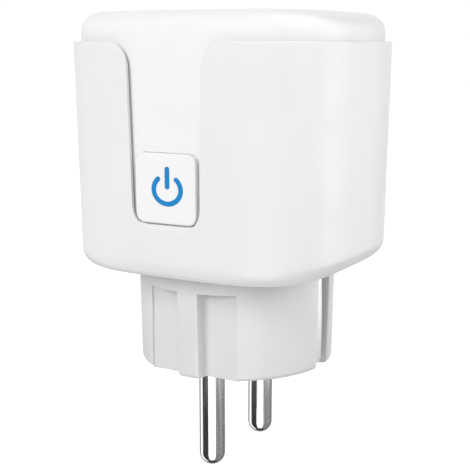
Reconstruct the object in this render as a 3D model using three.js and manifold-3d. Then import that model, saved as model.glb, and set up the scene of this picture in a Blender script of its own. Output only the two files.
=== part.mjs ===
// Smart plug: a mains adapter with a switched socket on top, round earth-contact plug below,
// a square sleeve with a slot on the front, and a lit power button at the bottom of the slot.
// Millimetres, +Z up. The socket faces up, the pins point down and the button faces -Y.
// The origin is the middle of the plug's end face, between the two pins.
import * as THREE from 'three';
import { mergeVertices } from 'three/addons/utils/BufferGeometryUtils.js';
import Module from 'manifold-3d';

const wasm = await Module();
wasm.setup();

// ---- driving dimensions ----
const PIN_RADIUS = 2.4;
const PIN_OFFSET = 9.5;              // each pin's distance from the middle, along Y
const PIN_LENGTH = 19;
const BASE_FOOT_RADIUS = 18.1;
const BASE_TOP_RADIUS = 18.45;
const BASE_HEIGHT = 18.9;            // end face to the sleeve's underside
const SLEEVE_TOP = 59.1;
const SHELL_TOP = 64.2;
const SLEEVE_FOOT_HALF = 24.57;      // half the sleeve's side at its underside
const SLEEVE_TOP_HALF = 25.15;
const CORNER_POWER = 3.84;           // exponent of the superellipse that every square outline follows
const RECESS_RADIUS = 19.8;
const RECESS_DEPTH = 17.5;
const EARTH_HOLE_OFFSET = 10;        // earth pin hole's distance from the middle, along X

// ---- walls, gaps and travel ----
const SLEEVE_WALL = 1.0;
const SHELL_WALL = 1.6;
const BASE_WALL = 1.75;
const FIT_GAP = 0.15;                // between pieces that fit closely
const SEAT_GAP = 0.3;                // between pieces that rest on each other
const SHEET = 0.7;                   // thickness of the bent metal contacts
const BUTTON_TRAVEL = 0.6;
const SHUTTER_TRAVEL = 6.3;

// ---- levels worked out from the above ----
const SHELL_BOTTOM = BASE_HEIGHT + 4.1;
const RECESS_FLOOR = SHELL_TOP - RECESS_DEPTH;
const FLOOR_UNDERSIDE = RECESS_FLOOR - 2.5;
const TUBE_BOTTOM = FLOOR_UNDERSIDE - 0.2;
const SHUTTER_TOP = FLOOR_UNDERSIDE - SEAT_GAP;
const SHUTTER_BOTTOM = SHUTTER_TOP - 2;
const DECK = SHUTTER_BOTTOM - SEAT_GAP;
const BOARD_BOTTOM = SHELL_BOTTOM + 0.2;
const BOARD_TOP = BOARD_BOTTOM + 1.6;
const ABOVE_BOARD = BOARD_TOP + SEAT_GAP;
const BELOW_BOARD = BOARD_BOTTOM - SEAT_GAP;

const OUTLINE_STEPS = 48;
const ROUND_STEPS = 48;
const FINE_STEPS = 20;

// ---- solids: closed geometries turned into exact solids, joined and cut ----
function solidFrom(geometry) {
  const bare = geometry.clone();
  bare.deleteAttribute('normal');
  bare.deleteAttribute('uv');
  const merged = mergeVertices(bare, 1e-4);
  const mesh = new wasm.Mesh({
    numProp: 3,
    vertProperties: new Float32Array(merged.attributes.position.array),
    triVerts: new Uint32Array(merged.index.array),
  });
  return new wasm.Manifold(mesh);
}

function geometryFrom(solid) {
  const mesh = solid.getMesh();
  const geometry = new THREE.BufferGeometry();
  geometry.setAttribute('position', new THREE.BufferAttribute(mesh.vertProperties, 3));
  geometry.setIndex(new THREE.BufferAttribute(mesh.triVerts, 1));
  return geometry;
}

const joined = (first, ...others) => others.reduce((whole, other) => whole.add(other), first);
const cut = (first, ...others) => others.reduce((whole, other) => whole.subtract(other), first);

// ---- basic shapes ----
function block(x0, x1, y0, y1, z0, z1) {
  const geometry = new THREE.BoxGeometry(x1 - x0, y1 - y0, z1 - z0);
  geometry.translate((x0 + x1) / 2, (y0 + y1) / 2, (z0 + z1) / 2);
  return solidFrom(geometry);
}

function upright(radius, z0, z1, x = 0, y = 0, steps = FINE_STEPS) {
  const geometry = new THREE.CylinderGeometry(radius, radius, z1 - z0, steps);
  geometry.rotateX(Math.PI / 2);
  geometry.translate(x, y, (z0 + z1) / 2);
  return solidFrom(geometry);
}

// a cylinder along Y, between y0 and y1
function crosswise(radius, y0, y1, x, z, steps = FINE_STEPS) {
  const geometry = new THREE.CylinderGeometry(radius, radius, y1 - y0, steps);
  geometry.translate(x, (y0 + y1) / 2, z);
  return solidFrom(geometry);
}

// profile points are [radius, height] pairs; the axis is Z
function turned(profile, x, y, steps = FINE_STEPS) {
  const geometry = new THREE.LatheGeometry(profile.map(([r, z]) => new THREE.Vector2(r, z)), steps);
  geometry.rotateX(Math.PI / 2);
  geometry.translate(x, y, 0);
  return solidFrom(geometry);
}

// a shape drawn in X and Z, given depth along Y from y0 to y1
function slab(shape, y0, y1, curveSegments = 5) {
  const geometry = new THREE.ExtrudeGeometry(shape, { depth: y1 - y0, bevelEnabled: false, curveSegments });
  geometry.rotateX(Math.PI / 2);
  geometry.translate(0, y1, 0);
  return solidFrom(geometry);
}

// a rounded rectangle in X and Z
function roundedRectangle(halfWidth, halfHeight, radius, centreZ) {
  const shape = new THREE.Shape();
  const corners = [
    [halfWidth - radius, centreZ + halfHeight - radius, 0],
    [radius - halfWidth, centreZ + halfHeight - radius, Math.PI / 2],
    [radius - halfWidth, centreZ + radius - halfHeight, Math.PI],
    [halfWidth - radius, centreZ + radius - halfHeight, Math.PI * 1.5],
  ];
  for (const [x, z, start] of corners) {
    shape.absarc(x, z, radius, start, start + Math.PI / 2, false);
  }
  return shape;
}

// a bent sheet-metal strip: the centre line is a list of [x, z] points, the width runs along Y
function bentStrip(centreLine, thickness, halfWidth, y = 0) {
  const points = centreLine.map(([x, z]) => new THREE.Vector2(x, z));
  const left = [];
  const right = [];
  points.forEach((point, index) => {
    const before = points[Math.max(index - 1, 0)];
    const after = points[Math.min(index + 1, points.length - 1)];
    const arriving = point.clone().sub(before).normalize();
    const leaving = after.clone().sub(point).normalize();
    const along = arriving.add(leaving).normalize();
    const turn = index === 0 || index === points.length - 1
      ? 1
      : Math.max(along.dot(leaving), 0.5);
    const side = new THREE.Vector2(-along.y, along.x).multiplyScalar(thickness / 2 / turn);
    left.push(point.clone().add(side));
    right.unshift(point.clone().sub(side));
  });
  return slab(new THREE.Shape([...left, ...right]), y - halfWidth, y + halfWidth);
}

// ---- the rounded-square outline ----
const sleeveHalf = (z) =>
  THREE.MathUtils.mapLinear(z, BASE_HEIGHT, SLEEVE_TOP, SLEEVE_FOOT_HALF, SLEEVE_TOP_HALF);

function outlineRing(half, z) {
  const power = 2 / CORNER_POWER;
  const ring = [];
  for (let step = 0; step < OUTLINE_STEPS; step += 1) {
    const angle = (step / OUTLINE_STEPS) * Math.PI * 2;
    const x = half * Math.sign(Math.cos(angle)) * Math.abs(Math.cos(angle)) ** power;
    const y = half * Math.sign(Math.sin(angle)) * Math.abs(Math.sin(angle)) ** power;
    ring.push(new THREE.Vector3(x, y, z));
  }
  return ring;
}

// a solid through a stack of rings, closed by a flat fan at each end
function lofted(rings) {
  const size = rings[0].length;
  const positions = rings.flat().flatMap((point) => [point.x, point.y, point.z]);
  const bottomCentre = rings.length * size;
  positions.push(0, 0, rings[0][0].z, 0, 0, rings.at(-1)[0].z);
  const triangles = [];
  for (let step = 0; step < size; step += 1) {
    const next = (step + 1) % size;
    for (let level = 0; level < rings.length - 1; level += 1) {
      const low = level * size;
      const high = low + size;
      triangles.push(low + step, low + next, high + next, low + step, high + next, high + step);
    }
    const last = bottomCentre - size;
    triangles.push(bottomCentre, next, step, bottomCentre + 1, last + step, last + next);
  }
  const geometry = new THREE.BufferGeometry();
  geometry.setAttribute('position', new THREE.Float32BufferAttribute(positions, 3));
  geometry.setIndex(triangles);
  return solidFrom(geometry);
}

// the rounded-square body between two levels, set in by inset, with rounded bottom and top edges
function squareBody(inset, z0, z1, bottomRound = 0, topRound = 0, roundSteps = 4) {
  const rings = [];
  const addEdge = (level, radius, direction) => {
    const steps = radius > 0 ? roundSteps : 0;
    for (let step = 0; step <= steps; step += 1) {
      const angle = steps ? (step / steps) * (Math.PI / 2) : 0;
      const rise = direction > 0 ? radius * (1 - Math.cos(angle)) : radius * (1 - Math.sin(angle));
      const draw = direction > 0 ? radius * (1 - Math.sin(angle)) : radius * (1 - Math.cos(angle));
      const z = level + direction * rise;
      rings.push(outlineRing(sleeveHalf(z) - inset - draw, z));
    }
  };
  addEdge(z0, bottomRound, 1);
  addEdge(z1, topRound, -1);
  return lofted(rings);
}

function straightSquare(half, z0, z1) {
  return lofted([outlineRing(half, z0), outlineRing(half, z1)]);
}

// ---- materials ----
const material = (color, roughness, metalness = 0, extra = {}) =>
  new THREE.MeshStandardMaterial({ color, roughness, metalness, ...extra });
const whitePlastic = material(0xf3f3f1, 0.35);
const buttonPlastic = material(0xf7f7f6, 0.4);
const blueGuide = material(0x2687c4, 0.3, 0, { emissive: 0x1c6ea8 });
const nickel = material(0xc9c8c4, 0.2, 1);
const brass = material(0xc9a24c, 0.3, 1);
const steel = material(0xa8aaad, 0.3, 1);
const copper = material(0xb5693b, 0.35, 1);
const greyPlastic = material(0x8d9093, 0.55);
const blackPlastic = material(0x1c1d1f, 0.5);
const relayBlue = material(0x2b4fa3, 0.5);
const boardGreen = material(0x1f6b3d, 0.5);
const ceramicBlue = material(0x3b6ea8, 0.5);
const resistorTan = material(0xb9a27a, 0.6);
const ledClear = material(0xd6e6f5, 0.2);

// ---- sleeve ----
const SLOT_BOTTOM = 27.85;
const SLOT_HALF_LOW = 6.7;
const SLOT_HALF_HIGH = 7.2;
const SLOT_CORNER = 3.8;
const SLOT_SHOULDER = 4.1;

// the slot runs from rounded bottom corners up to shoulders that flare out at the sleeve's top
function slotShape() {
  const shape = new THREE.Shape();
  const above = SLEEVE_TOP + 2;
  const shoulderX = SLOT_HALF_HIGH + SLOT_SHOULDER;
  const shoulderZ = SLEEVE_TOP - SLOT_SHOULDER;
  shape.moveTo(shoulderX, above);
  shape.lineTo(-shoulderX, above);
  shape.lineTo(-shoulderX, SLEEVE_TOP);
  const cornerX = SLOT_HALF_LOW - SLOT_CORNER;
  const cornerZ = SLOT_BOTTOM + SLOT_CORNER;
  shape.absarc(-shoulderX, shoulderZ, SLOT_SHOULDER, Math.PI / 2, 0, true);
  shape.absarc(-cornerX, cornerZ, SLOT_CORNER, Math.PI, Math.PI * 1.5, false);
  shape.absarc(cornerX, cornerZ, SLOT_CORNER, Math.PI * 1.5, Math.PI * 2, false);
  shape.absarc(shoulderX, shoulderZ, SLOT_SHOULDER, Math.PI, Math.PI / 2, true);
  return shape;
}

const SLEEVE_LIP = 2;
const LIP_OPENING_HALF = 20.6;
const SLEEVE_FOOT_ROUND = 3.2;
const SLEEVE_RIM_ROUND = 0.4;

function outerSleeve() {
  const body = squareBody(0, BASE_HEIGHT, SLEEVE_TOP, SLEEVE_FOOT_ROUND, SLEEVE_RIM_ROUND);
  const hollow = squareBody(SLEEVE_WALL, BASE_HEIGHT + SLEEVE_LIP, SLEEVE_TOP + 1);
  const opening = straightSquare(LIP_OPENING_HALF, BASE_HEIGHT - 1, BASE_HEIGHT + SLEEVE_LIP + 1);
  return cut(body, hollow, opening, slab(slotShape(), -SLEEVE_TOP_HALF - 2, -15));
}

// ---- plug base ----
const FACE_PLATE = 2.2;
const FLANGE_BOTTOM = BASE_HEIGHT + SEAT_GAP;
const FLANGE_STEP = BASE_HEIGHT + SLEEVE_LIP + SEAT_GAP;
const FLANGE_TOP = SHELL_BOTTOM - SEAT_GAP;
const FLUTE_TOP = 15.7;
const FLUTE_FLOOR = 15.45;
const RIDGE_HALF = 2.05;
const FLUTE_SIDE = 8.72;
const EARTH_SLOT_HALF = 2.3;
const EARTH_SLOT_FLOOR = 16.35;
const EARTH_SLOT_TOP = 18.4;
const SCREW_PLACE = 15;
const SCREW_HEAD_RADIUS = 2.2;
const SCREW_RADIUS = 1.2;
const COUNTERBORE_TOP = 20.9;
const EARTH_SLEEVE_RADIUS = 3.0;
const TAIL_SLIT_LOW = 16.3;
const TAIL_SLIT_HEIGHT = 1.3;
const TAIL_SLIT_HALF = 2;
const CORNERS = [[1, 1], [-1, 1], [-1, -1], [1, -1]];

function baseBarrel() {
  const round = 1;
  const profile = [[0, 0]];
  const steps = 5;
  for (let step = 0; step <= steps; step += 1) {
    const angle = (step / steps) * (Math.PI / 2);
    profile.push([BASE_FOOT_RADIUS - round + round * Math.sin(angle), round - round * Math.cos(angle)]);
  }
  profile.push([BASE_TOP_RADIUS, FLANGE_BOTTOM + 1], [0, FLANGE_BOTTOM + 1]);
  return turned(profile, 0, 0, ROUND_STEPS);
}

// the pairs of flutes on the front and back, and the earth slots on both sides
function baseGrooves() {
  const grooves = [];
  for (const side of [1, -1]) {
    for (const [x0, x1] of [[RIDGE_HALF, FLUTE_SIDE], [-FLUTE_SIDE, -RIDGE_HALF]]) {
      const [y0, y1] = side > 0 ? [FLUTE_FLOOR, 20] : [-20, -FLUTE_FLOOR];
      grooves.push(block(x0, x1, y0, y1, -1, FLUTE_TOP));
    }
    const [x0, x1] = side > 0 ? [EARTH_SLOT_FLOOR, 20] : [-20, -EARTH_SLOT_FLOOR];
    grooves.push(block(x0, x1, -EARTH_SLOT_HALF, EARTH_SLOT_HALF, -1, EARTH_SLOT_TOP));
  }
  return grooves;
}

function baseHoles() {
  const holes = [upright(EARTH_SLEEVE_RADIUS + SEAT_GAP, -1, FACE_PLATE + 1, EARTH_HOLE_OFFSET, 0)];
  for (const side of [1, -1]) {
    holes.push(upright(PIN_RADIUS + FIT_GAP, -1, FACE_PLATE + 1, 0, side * PIN_OFFSET));
    const slit = [side * 13, side * 17].sort((a, b) => a - b);
    const slitTop = TAIL_SLIT_LOW + TAIL_SLIT_HEIGHT;
    holes.push(block(...slit, -TAIL_SLIT_HALF, TAIL_SLIT_HALF, TAIL_SLIT_LOW, slitTop));
  }
  for (const [sx, sy] of CORNERS) {
    const [x, y] = [sx * SCREW_PLACE, sy * SCREW_PLACE];
    holes.push(upright(SCREW_HEAD_RADIUS + 0.25, FLANGE_BOTTOM - 1, COUNTERBORE_TOP, x, y));
    holes.push(upright(SCREW_RADIUS + SEAT_GAP, FLANGE_BOTTOM - 1, FLANGE_TOP + 1, x, y, 16));
  }
  return holes;
}

function plugBase() {
  const flange = joined(
    straightSquare(LIP_OPENING_HALF - SEAT_GAP, FLANGE_BOTTOM, FLANGE_STEP + 0.5),
    straightSquare(SLEEVE_FOOT_HALF - SLEEVE_WALL - 0.55, FLANGE_STEP, FLANGE_TOP),
  );
  const hollowX = EARTH_SLOT_FLOOR - BASE_WALL;
  const hollowY = FLUTE_FLOOR - BASE_WALL;
  const hollow = upright(BASE_TOP_RADIUS - 2.25, FACE_PLATE, FLANGE_TOP + 1, 0, 0, ROUND_STEPS)
    .intersect(block(-hollowX, hollowX, -hollowY, hollowY, 0, FLANGE_TOP + 2));
  return cut(joined(baseBarrel(), flange), ...baseGrooves(), hollow, ...baseHoles());
}

function baseScrew(x, y) {
  const headBottom = FLANGE_BOTTOM + 0.2;
  const headTop = headBottom + 1.3;
  const tip = 36;
  const profile = [
    [0, headBottom],
    [SCREW_HEAD_RADIUS - 0.3, headBottom],
    [SCREW_HEAD_RADIUS, headBottom + 0.3],
    [SCREW_HEAD_RADIUS, headTop],
    [SCREW_RADIUS, headTop],
    [SCREW_RADIUS, tip - 1.5],
    [0, tip],
  ];
  const crossLength = 1.3;
  const crossHalf = 0.3;
  const crossTop = headBottom + 0.8;
  const cross = [
    block(x - crossLength, x + crossLength, y - crossHalf, y + crossHalf, headBottom - 1, crossTop),
    block(x - crossHalf, x + crossHalf, y - crossLength, y + crossLength, headBottom - 1, crossTop),
  ];
  return cut(turned(profile, x, y, 16), ...cross);
}

// ---- mains pins and the plug's earth contacts ----
function mainsPin(side) {
  const profile = [];
  const steps = 6;
  for (let step = 0; step <= steps; step += 1) {
    const angle = (step / steps) * (Math.PI / 2);
    profile.push([PIN_RADIUS * Math.sin(angle), PIN_RADIUS - PIN_LENGTH - PIN_RADIUS * Math.cos(angle)]);
  }
  const collarBottom = FACE_PLATE + SEAT_GAP;
  profile.push(
    [PIN_RADIUS, collarBottom],
    [PIN_RADIUS + 1, collarBottom],
    [PIN_RADIUS + 1, collarBottom + 1.5],
    [PIN_RADIUS - 0.6, collarBottom + 1.5],
    [PIN_RADIUS - 0.6, collarBottom + 5],
    [0, collarBottom + 5],
  );
  return turned(profile, 0, side * PIN_OFFSET);
}

function pinStrap(side) {
  const y = side * PIN_OFFSET;
  return block(-2, 2, y - 0.3, y + 0.3, FACE_PLATE + SEAT_GAP * 2 + 5, BELOW_BOARD);
}

function earthPinSocket() {
  const wall = 0.5;
  const top = 15.5;
  const outer = EARTH_SLEEVE_RADIUS;
  const inner = outer - wall;
  const profile = [[inner, SEAT_GAP], [outer, SEAT_GAP], [outer, top], [inner, top], [inner, SEAT_GAP]];
  return turned(profile, EARTH_HOLE_OFFSET, 0);
}

// the strip bows slightly outward in its slot, then bends through the wall and up to the main board
function sideEarthContact(side) {
  const flat = EARTH_SLOT_FLOOR + FIT_GAP + SHEET / 2;
  const bow = 0.1;
  const halfWidth = 1.2;
  const foot = 1.2;
  const bend = TAIL_SLIT_LOW + TAIL_SLIT_HEIGHT / 2;
  const inside = EARTH_SLOT_FLOOR - BASE_WALL - SEAT_GAP - SHEET / 2;
  const line = [];
  const steps = 6;
  for (let step = 0; step <= steps; step += 1) {
    const share = step / steps;
    line.push([side * (flat + bow * Math.sin(share * Math.PI)), foot + share * (bend - foot)]);
  }
  line.push([side * inside, bend], [side * inside, BELOW_BOARD]);
  return bentStrip(line, SHEET, halfWidth);
}

// ---- inner shell with the socket recess ----
const SHELL_INSET = SLEEVE_WALL + FIT_GAP;
const TUBE_RADIUS = RECESS_RADIUS + SHELL_WALL;
const BUTTON_HALF_WIDTH = 6.0;
const BUTTON_HALF_HEIGHT = 5.95;
const BUTTON_CENTRE = 34.8;
const BUTTON_CORNER = 1.65;
const SHELL_TOP_ROUND = 3.55;
const CEILING_THICKNESS = 2;
const KEY_RIB_FACE = 16.4;
const KEY_RIB_WIDTH = 5;
const KEY_RIB_NEAR = RIDGE_HALF + 0.95;
const CLIP_WINDOW_HALF = 2.8;
const CLIP_WINDOW_TOP = SHELL_TOP - 3.4;
const PILOT_TOP = 38;

function screwPost(sx, sy) {
  const [x, y] = [sx * SCREW_PLACE, sy * SCREW_PLACE];
  const post = upright(SCREW_RADIUS + SHELL_WALL, SHELL_BOTTOM, TUBE_BOTTOM + 0.4, x, y);
  const reach = SCREW_PLACE * Math.SQRT2;
  const webLength = 5;
  const web = new THREE.BoxGeometry(webLength, SHELL_WALL, TUBE_BOTTOM - SHELL_BOTTOM - 1);
  web.translate(reach + webLength / 2, 0, (TUBE_BOTTOM + SHELL_BOTTOM) / 2);
  web.rotateZ(Math.atan2(sy, sx));
  return joined(post, solidFrom(web));
}

// the ribs that fit the flutes of the plug that is put in
function keyRibs() {
  const ribs = [];
  const back = RECESS_RADIUS + 0.1;
  for (const side of [1, -1]) {
    for (const x of [KEY_RIB_NEAR, -KEY_RIB_NEAR - KEY_RIB_WIDTH]) {
      const [y0, y1] = side > 0 ? [KEY_RIB_FACE, back] : [-back, -KEY_RIB_FACE];
      ribs.push(block(x, x + KEY_RIB_WIDTH, y0, y1, RECESS_FLOOR + SEAT_GAP, SHELL_TOP - 2));
    }
  }
  return ribs;
}

function buttonOutline(grow) {
  return roundedRectangle(BUTTON_HALF_WIDTH + grow, BUTTON_HALF_HEIGHT + grow, BUTTON_CORNER, BUTTON_CENTRE);
}

function clipWindow(side) {
  const near = RECESS_RADIUS - 1.5;
  const far = TUBE_RADIUS + 0.3;
  const [x0, x1] = side > 0 ? [near, far] : [-far, -near];
  return block(x0, x1, -CLIP_WINDOW_HALF, CLIP_WINDOW_HALF, TUBE_BOTTOM - 1, CLIP_WINDOW_TOP);
}

function innerShell() {
  const outside = squareBody(SHELL_INSET, SHELL_BOTTOM, SHELL_TOP, 0, SHELL_TOP_ROUND, 5);
  const hollow = squareBody(SHELL_INSET + SHELL_WALL, SHELL_BOTTOM - 1, SHELL_TOP - CEILING_THICKNESS);
  const tube = upright(TUBE_RADIUS, TUBE_BOTTOM, SHELL_TOP - 1, 0, 0, ROUND_STEPS);
  const posts = CORNERS.map(([sx, sy]) => screwPost(sx, sy));
  const pilots = CORNERS.map(([sx, sy]) =>
    upright(SCREW_RADIUS + 0.25, SHELL_BOTTOM - 1, PILOT_TOP, sx * SCREW_PLACE, sy * SCREW_PLACE, 16));
  const bore = upright(RECESS_RADIUS, TUBE_BOTTOM - 1, SHELL_TOP + 1, 0, 0, ROUND_STEPS);
  const windows = [clipWindow(1), clipWindow(-1)];
  const opening = slab(buttonOutline(FIT_GAP), -SLEEVE_TOP_HALF, -SLEEVE_FOOT_HALF + 5);
  const plain = cut(joined(cut(outside, hollow), tube, ...posts), bore, ...pilots, ...windows, opening);
  return joined(plain, ...keyRibs());
}

// ---- socket floor, shutter and contact carrier ----
const PIN_HOLE_RADIUS = 3;

function socketFloor() {
  const discRadius = RECESS_RADIUS - SEAT_GAP;
  const plateau = upright(KEY_RIB_FACE - 0.4, FLOOR_UNDERSIDE, RECESS_FLOOR, 0, 0, ROUND_STEPS);
  const disc = upright(discRadius, FLOOR_UNDERSIDE, RECESS_FLOOR - SEAT_GAP, 0, 0, ROUND_STEPS);
  const holes = [1, -1].map((side) =>
    upright(PIN_HOLE_RADIUS, FLOOR_UNDERSIDE - 1, RECESS_FLOOR + 1, 0, side * PIN_OFFSET, 32));
  return cut(joined(disc, plateau), ...holes);
}

const BLADE_HALF = SHUTTER_TRAVEL - PIN_RADIUS - 0.5;   // clear of the pin once the shutter has slid
const BLADE_INNER = 6;
const BLADE_OUTER = 12.9;
const SHUTTER_WEB = 2.8;

// two sloped blades cover the pin holes; a pair of pins pressing on the slopes slides them aside
function shutterPlate() {
  const slope = new THREE.Shape([
    new THREE.Vector2(-BLADE_HALF, SHUTTER_BOTTOM),
    new THREE.Vector2(BLADE_HALF, SHUTTER_BOTTOM),
    new THREE.Vector2(BLADE_HALF, SHUTTER_TOP),
    new THREE.Vector2(BLADE_HALF - 1.8, SHUTTER_TOP),
    new THREE.Vector2(-BLADE_HALF, SHUTTER_BOTTOM + 0.5),
  ]);
  const webEnd = BLADE_INNER + 0.1;
  const web = block(BLADE_HALF - SHUTTER_WEB, BLADE_HALF, -webEnd, webEnd, SHUTTER_BOTTOM, SHUTTER_TOP);
  return joined(slab(slope, BLADE_INNER, BLADE_OUTER), slab(slope, -BLADE_OUTER, -BLADE_INNER), web);
}

const CARRIER_RADIUS = 18.1;
const CARRIER_BOTTOM = 28.5;
const CARRIER_FLAT = 15.2;
const SHUTTER_BAY_RADIUS = 16.6;
const CHAMBER_RADIUS = 4.6;

function contactCarrier() {
  const beyond = 20;
  const bayEnd = BLADE_OUTER + FIT_GAP * 2;
  const whole = upright(CARRIER_RADIUS, CARRIER_BOTTOM, SHUTTER_TOP, 0, 0, ROUND_STEPS);
  const flats = block(-beyond, beyond, -CARRIER_FLAT, CARRIER_FLAT, CARRIER_BOTTOM - 1, SHUTTER_TOP + 1);
  const bay = upright(SHUTTER_BAY_RADIUS, DECK, SHUTTER_TOP + 1, 0, 0, ROUND_STEPS)
    .intersect(block(-beyond, beyond, -bayEnd, bayEnd, DECK, SHUTTER_TOP + 2));
  const chambers = [1, -1].map((side) =>
    upright(CHAMBER_RADIUS, CARRIER_BOTTOM - 1, DECK + 1, 0, side * PIN_OFFSET));
  return cut(whole.intersect(flats), bay, ...chambers);
}

// a helix along +X, between the shutter's web and the bay's wall
function shutterSpring() {
  const wire = 0.25;
  const coil = 0.7;
  const turns = 7;
  const stepsPerTurn = 6;
  const start = BLADE_HALF + SEAT_GAP + wire;
  const end = SHUTTER_BAY_RADIUS - 2 * SEAT_GAP - wire;
  const points = [];
  for (let step = 0; step <= turns * stepsPerTurn; step += 1) {
    const angle = (step / stepsPerTurn) * Math.PI * 2;
    const x = THREE.MathUtils.lerp(start, end, step / (turns * stepsPerTurn));
    const z = (SHUTTER_TOP + SHUTTER_BOTTOM) / 2 + coil * Math.sin(angle);
    points.push(new THREE.Vector3(x, coil * Math.cos(angle), z));
  }
  const section = new THREE.Shape();
  section.absarc(0, 0, wire, 0, Math.PI * 2, false);
  const geometry = new THREE.ExtrudeGeometry(section, {
    steps: turns * stepsPerTurn,
    extrudePath: new THREE.CatmullRomCurve3(points),
    curveSegments: 4,
  });
  return solidFrom(geometry);
}

// ---- socket contacts ----
// a split tube that grips the pin, with a tail down to the main board
function socketContact(side) {
  const inner = PIN_RADIUS + 0.25;
  const outer = inner + SHEET;
  const opening = Math.PI / 6;
  const shape = new THREE.Shape();
  shape.absarc(0, 0, outer, opening, Math.PI * 2 - opening, false);
  shape.absarc(0, 0, inner, Math.PI * 2 - opening, opening, true);
  const bottom = CARRIER_BOTTOM + 0.5;
  const depth = DECK - 1 - bottom;
  const y = side * PIN_OFFSET;
  const geometry = new THREE.ExtrudeGeometry(shape, { depth, bevelEnabled: false, curveSegments: 9 });
  geometry.translate(0, y, bottom);
  const tail = block(-outer + 0.05, -inner - 0.05, y - 1.5, y + 1.5, ABOVE_BOARD, bottom + 2);
  return joined(solidFrom(geometry), tail);
}

// the springy strip at the side of the recess, bowed in towards the plug
const CLIP_PLACE = 20.3;
const CLIP_ROOT = 45.3;
const CLIP_TIP = 59.6;

function earthClip(side) {
  const line = [[side * CLIP_PLACE, CLIP_ROOT]];
  const bowStart = CLIP_ROOT + 3;
  const bow = 2.7;
  const steps = 10;
  for (let step = 0; step <= steps; step += 1) {
    const share = step / steps;
    const inward = bow * Math.sin(share * Math.PI) ** 2;
    line.push([side * (CLIP_PLACE - inward), bowStart + share * (CLIP_TIP - bowStart)]);
  }
  return bentStrip(line, SHEET, 2);
}

function earthStrap() {
  const low = ABOVE_BOARD + SHEET / 2 + 0.1;
  const top = CLIP_ROOT - SEAT_GAP;
  return bentStrip([[-CLIP_PLACE, top], [-CLIP_PLACE, low], [CLIP_PLACE, low], [CLIP_PLACE, top]], SHEET, 1.5);
}

// ---- power button and its switch ----
const BUTTON_FACE = -24.7;
const LIP_FRONT = -21.75;
const LIP_BACK = -21.0;
const BUTTON_BACK = -20.55;
const BUTTON_FRONT_WALL = 1.2;
const BUTTON_SIDE_WALL = 1.05;
const ICON_ACROSS = 0.45;            // the symbol sits this far to the right of the button's middle
const ICON_CENTRE = 34.7;
const ICON_RADIUS = 2.77;
const ICON_STROKE = 0.8;
const ICON_WIDENING = 1.12;          // the symbol is this much wider than a true circle
const ICON_GAP = THREE.MathUtils.degToRad(42);
const ICON_CLEARANCE = 0.12;
const BAR_BOTTOM = 34.8;
const BAR_TOP = 38.6;
const SWITCH_Z = 31;
const SWITCH_HALF = 3;
const SWITCH_FRONT = -19.6;
const PLUNGER_RADIUS = 1.6;
const LINK_BOARD_FRONT = -17.3;
const LINK_BOARD_HALF = 9.5;
const SWITCH_BORE_FLOOR = -17.9;

// the power symbol's ring, drawn grow wider on every side
function ringShape(grow) {
  const outer = ICON_RADIUS + grow;
  const inner = ICON_RADIUS - ICON_STROKE - grow;
  const from = Math.PI / 2 + ICON_GAP - grow / ICON_RADIUS;
  const to = Math.PI * 2.5 - ICON_GAP + grow / ICON_RADIUS;
  const shape = new THREE.Shape();
  shape.absellipse(ICON_ACROSS, ICON_CENTRE, outer * ICON_WIDENING, outer, from, to, false);
  shape.absellipse(ICON_ACROSS, ICON_CENTRE, inner * ICON_WIDENING, inner, to, from, true);
  return shape;
}

function symbolSlabs(grow, y0, y1) {
  const stroke = ICON_STROKE / 2;
  const bar = roundedRectangle(
    stroke * ICON_WIDENING + grow,
    (BAR_TOP - BAR_BOTTOM) / 2 + grow,
    stroke,
    (BAR_TOP + BAR_BOTTOM) / 2,
  );
  return [slab(ringShape(grow), y0, y1, 10), slab(bar, y0, y1, 10).translate([ICON_ACROSS, 0, 0])];
}

function powerButton() {
  const cap = slab(buttonOutline(0), BUTTON_FACE, LIP_BACK);
  const lip = slab(buttonOutline(1), LIP_FRONT, LIP_BACK);
  const innerX = BUTTON_HALF_WIDTH - BUTTON_SIDE_WALL;
  const innerZ = BUTTON_HALF_HEIGHT - BUTTON_SIDE_WALL;
  const [z0, z1] = [BUTTON_CENTRE - innerZ, BUTTON_CENTRE + innerZ];
  const hollow = block(-innerX, innerX, BUTTON_FACE + BUTTON_FRONT_WALL, LIP_BACK + 1, z0, z1);
  const bridgeHalf = BUTTON_HALF_WIDTH - 0.6;
  const bridge = block(-bridgeHalf, bridgeHalf, LIP_FRONT, BUTTON_BACK, SWITCH_Z - 1.2, SWITCH_Z + 1.2);
  const symbol = symbolSlabs(ICON_CLEARANCE, BUTTON_FACE - 1, BUTTON_FACE + 2);
  return joined(cut(joined(cap, lip), hollow, ...symbol), bridge);
}

function buttonLightGuide() {
  const half = 4.6;
  const plateFront = BUTTON_FACE + BUTTON_FRONT_WALL + FIT_GAP;
  const plate = block(-half, half, plateFront, plateFront + 1, BUTTON_CENTRE - half, BUTTON_CENTRE + half);
  return joined(plate, ...symbolSlabs(0, BUTTON_FACE, plateFront + 0.5));
}

function switchBody() {
  const back = LINK_BOARD_FRONT - 0.2;
  const [z0, z1] = [SWITCH_Z - SWITCH_HALF, SWITCH_Z + SWITCH_HALF];
  const body = block(-SWITCH_HALF, SWITCH_HALF, SWITCH_FRONT, back, z0, z1);
  const bore = crosswise(PLUNGER_RADIUS + SEAT_GAP, SWITCH_FRONT - 1, SWITCH_BORE_FLOOR, 0, SWITCH_Z);
  return cut(body, bore);
}

function switchPlunger() {
  const back = SWITCH_BORE_FLOOR - SEAT_GAP - BUTTON_TRAVEL;
  return crosswise(PLUNGER_RADIUS, BUTTON_BACK + FIT_GAP, back, 0, SWITCH_Z);
}

function statusLed() {
  const [halfWidth, halfHeight, depth, z] = [1.4, 1, 1.1, 37.3];
  const back = LINK_BOARD_FRONT - 0.2;
  return block(-halfWidth, halfWidth, back - depth, back, z - halfHeight, z + halfHeight);
}

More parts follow.
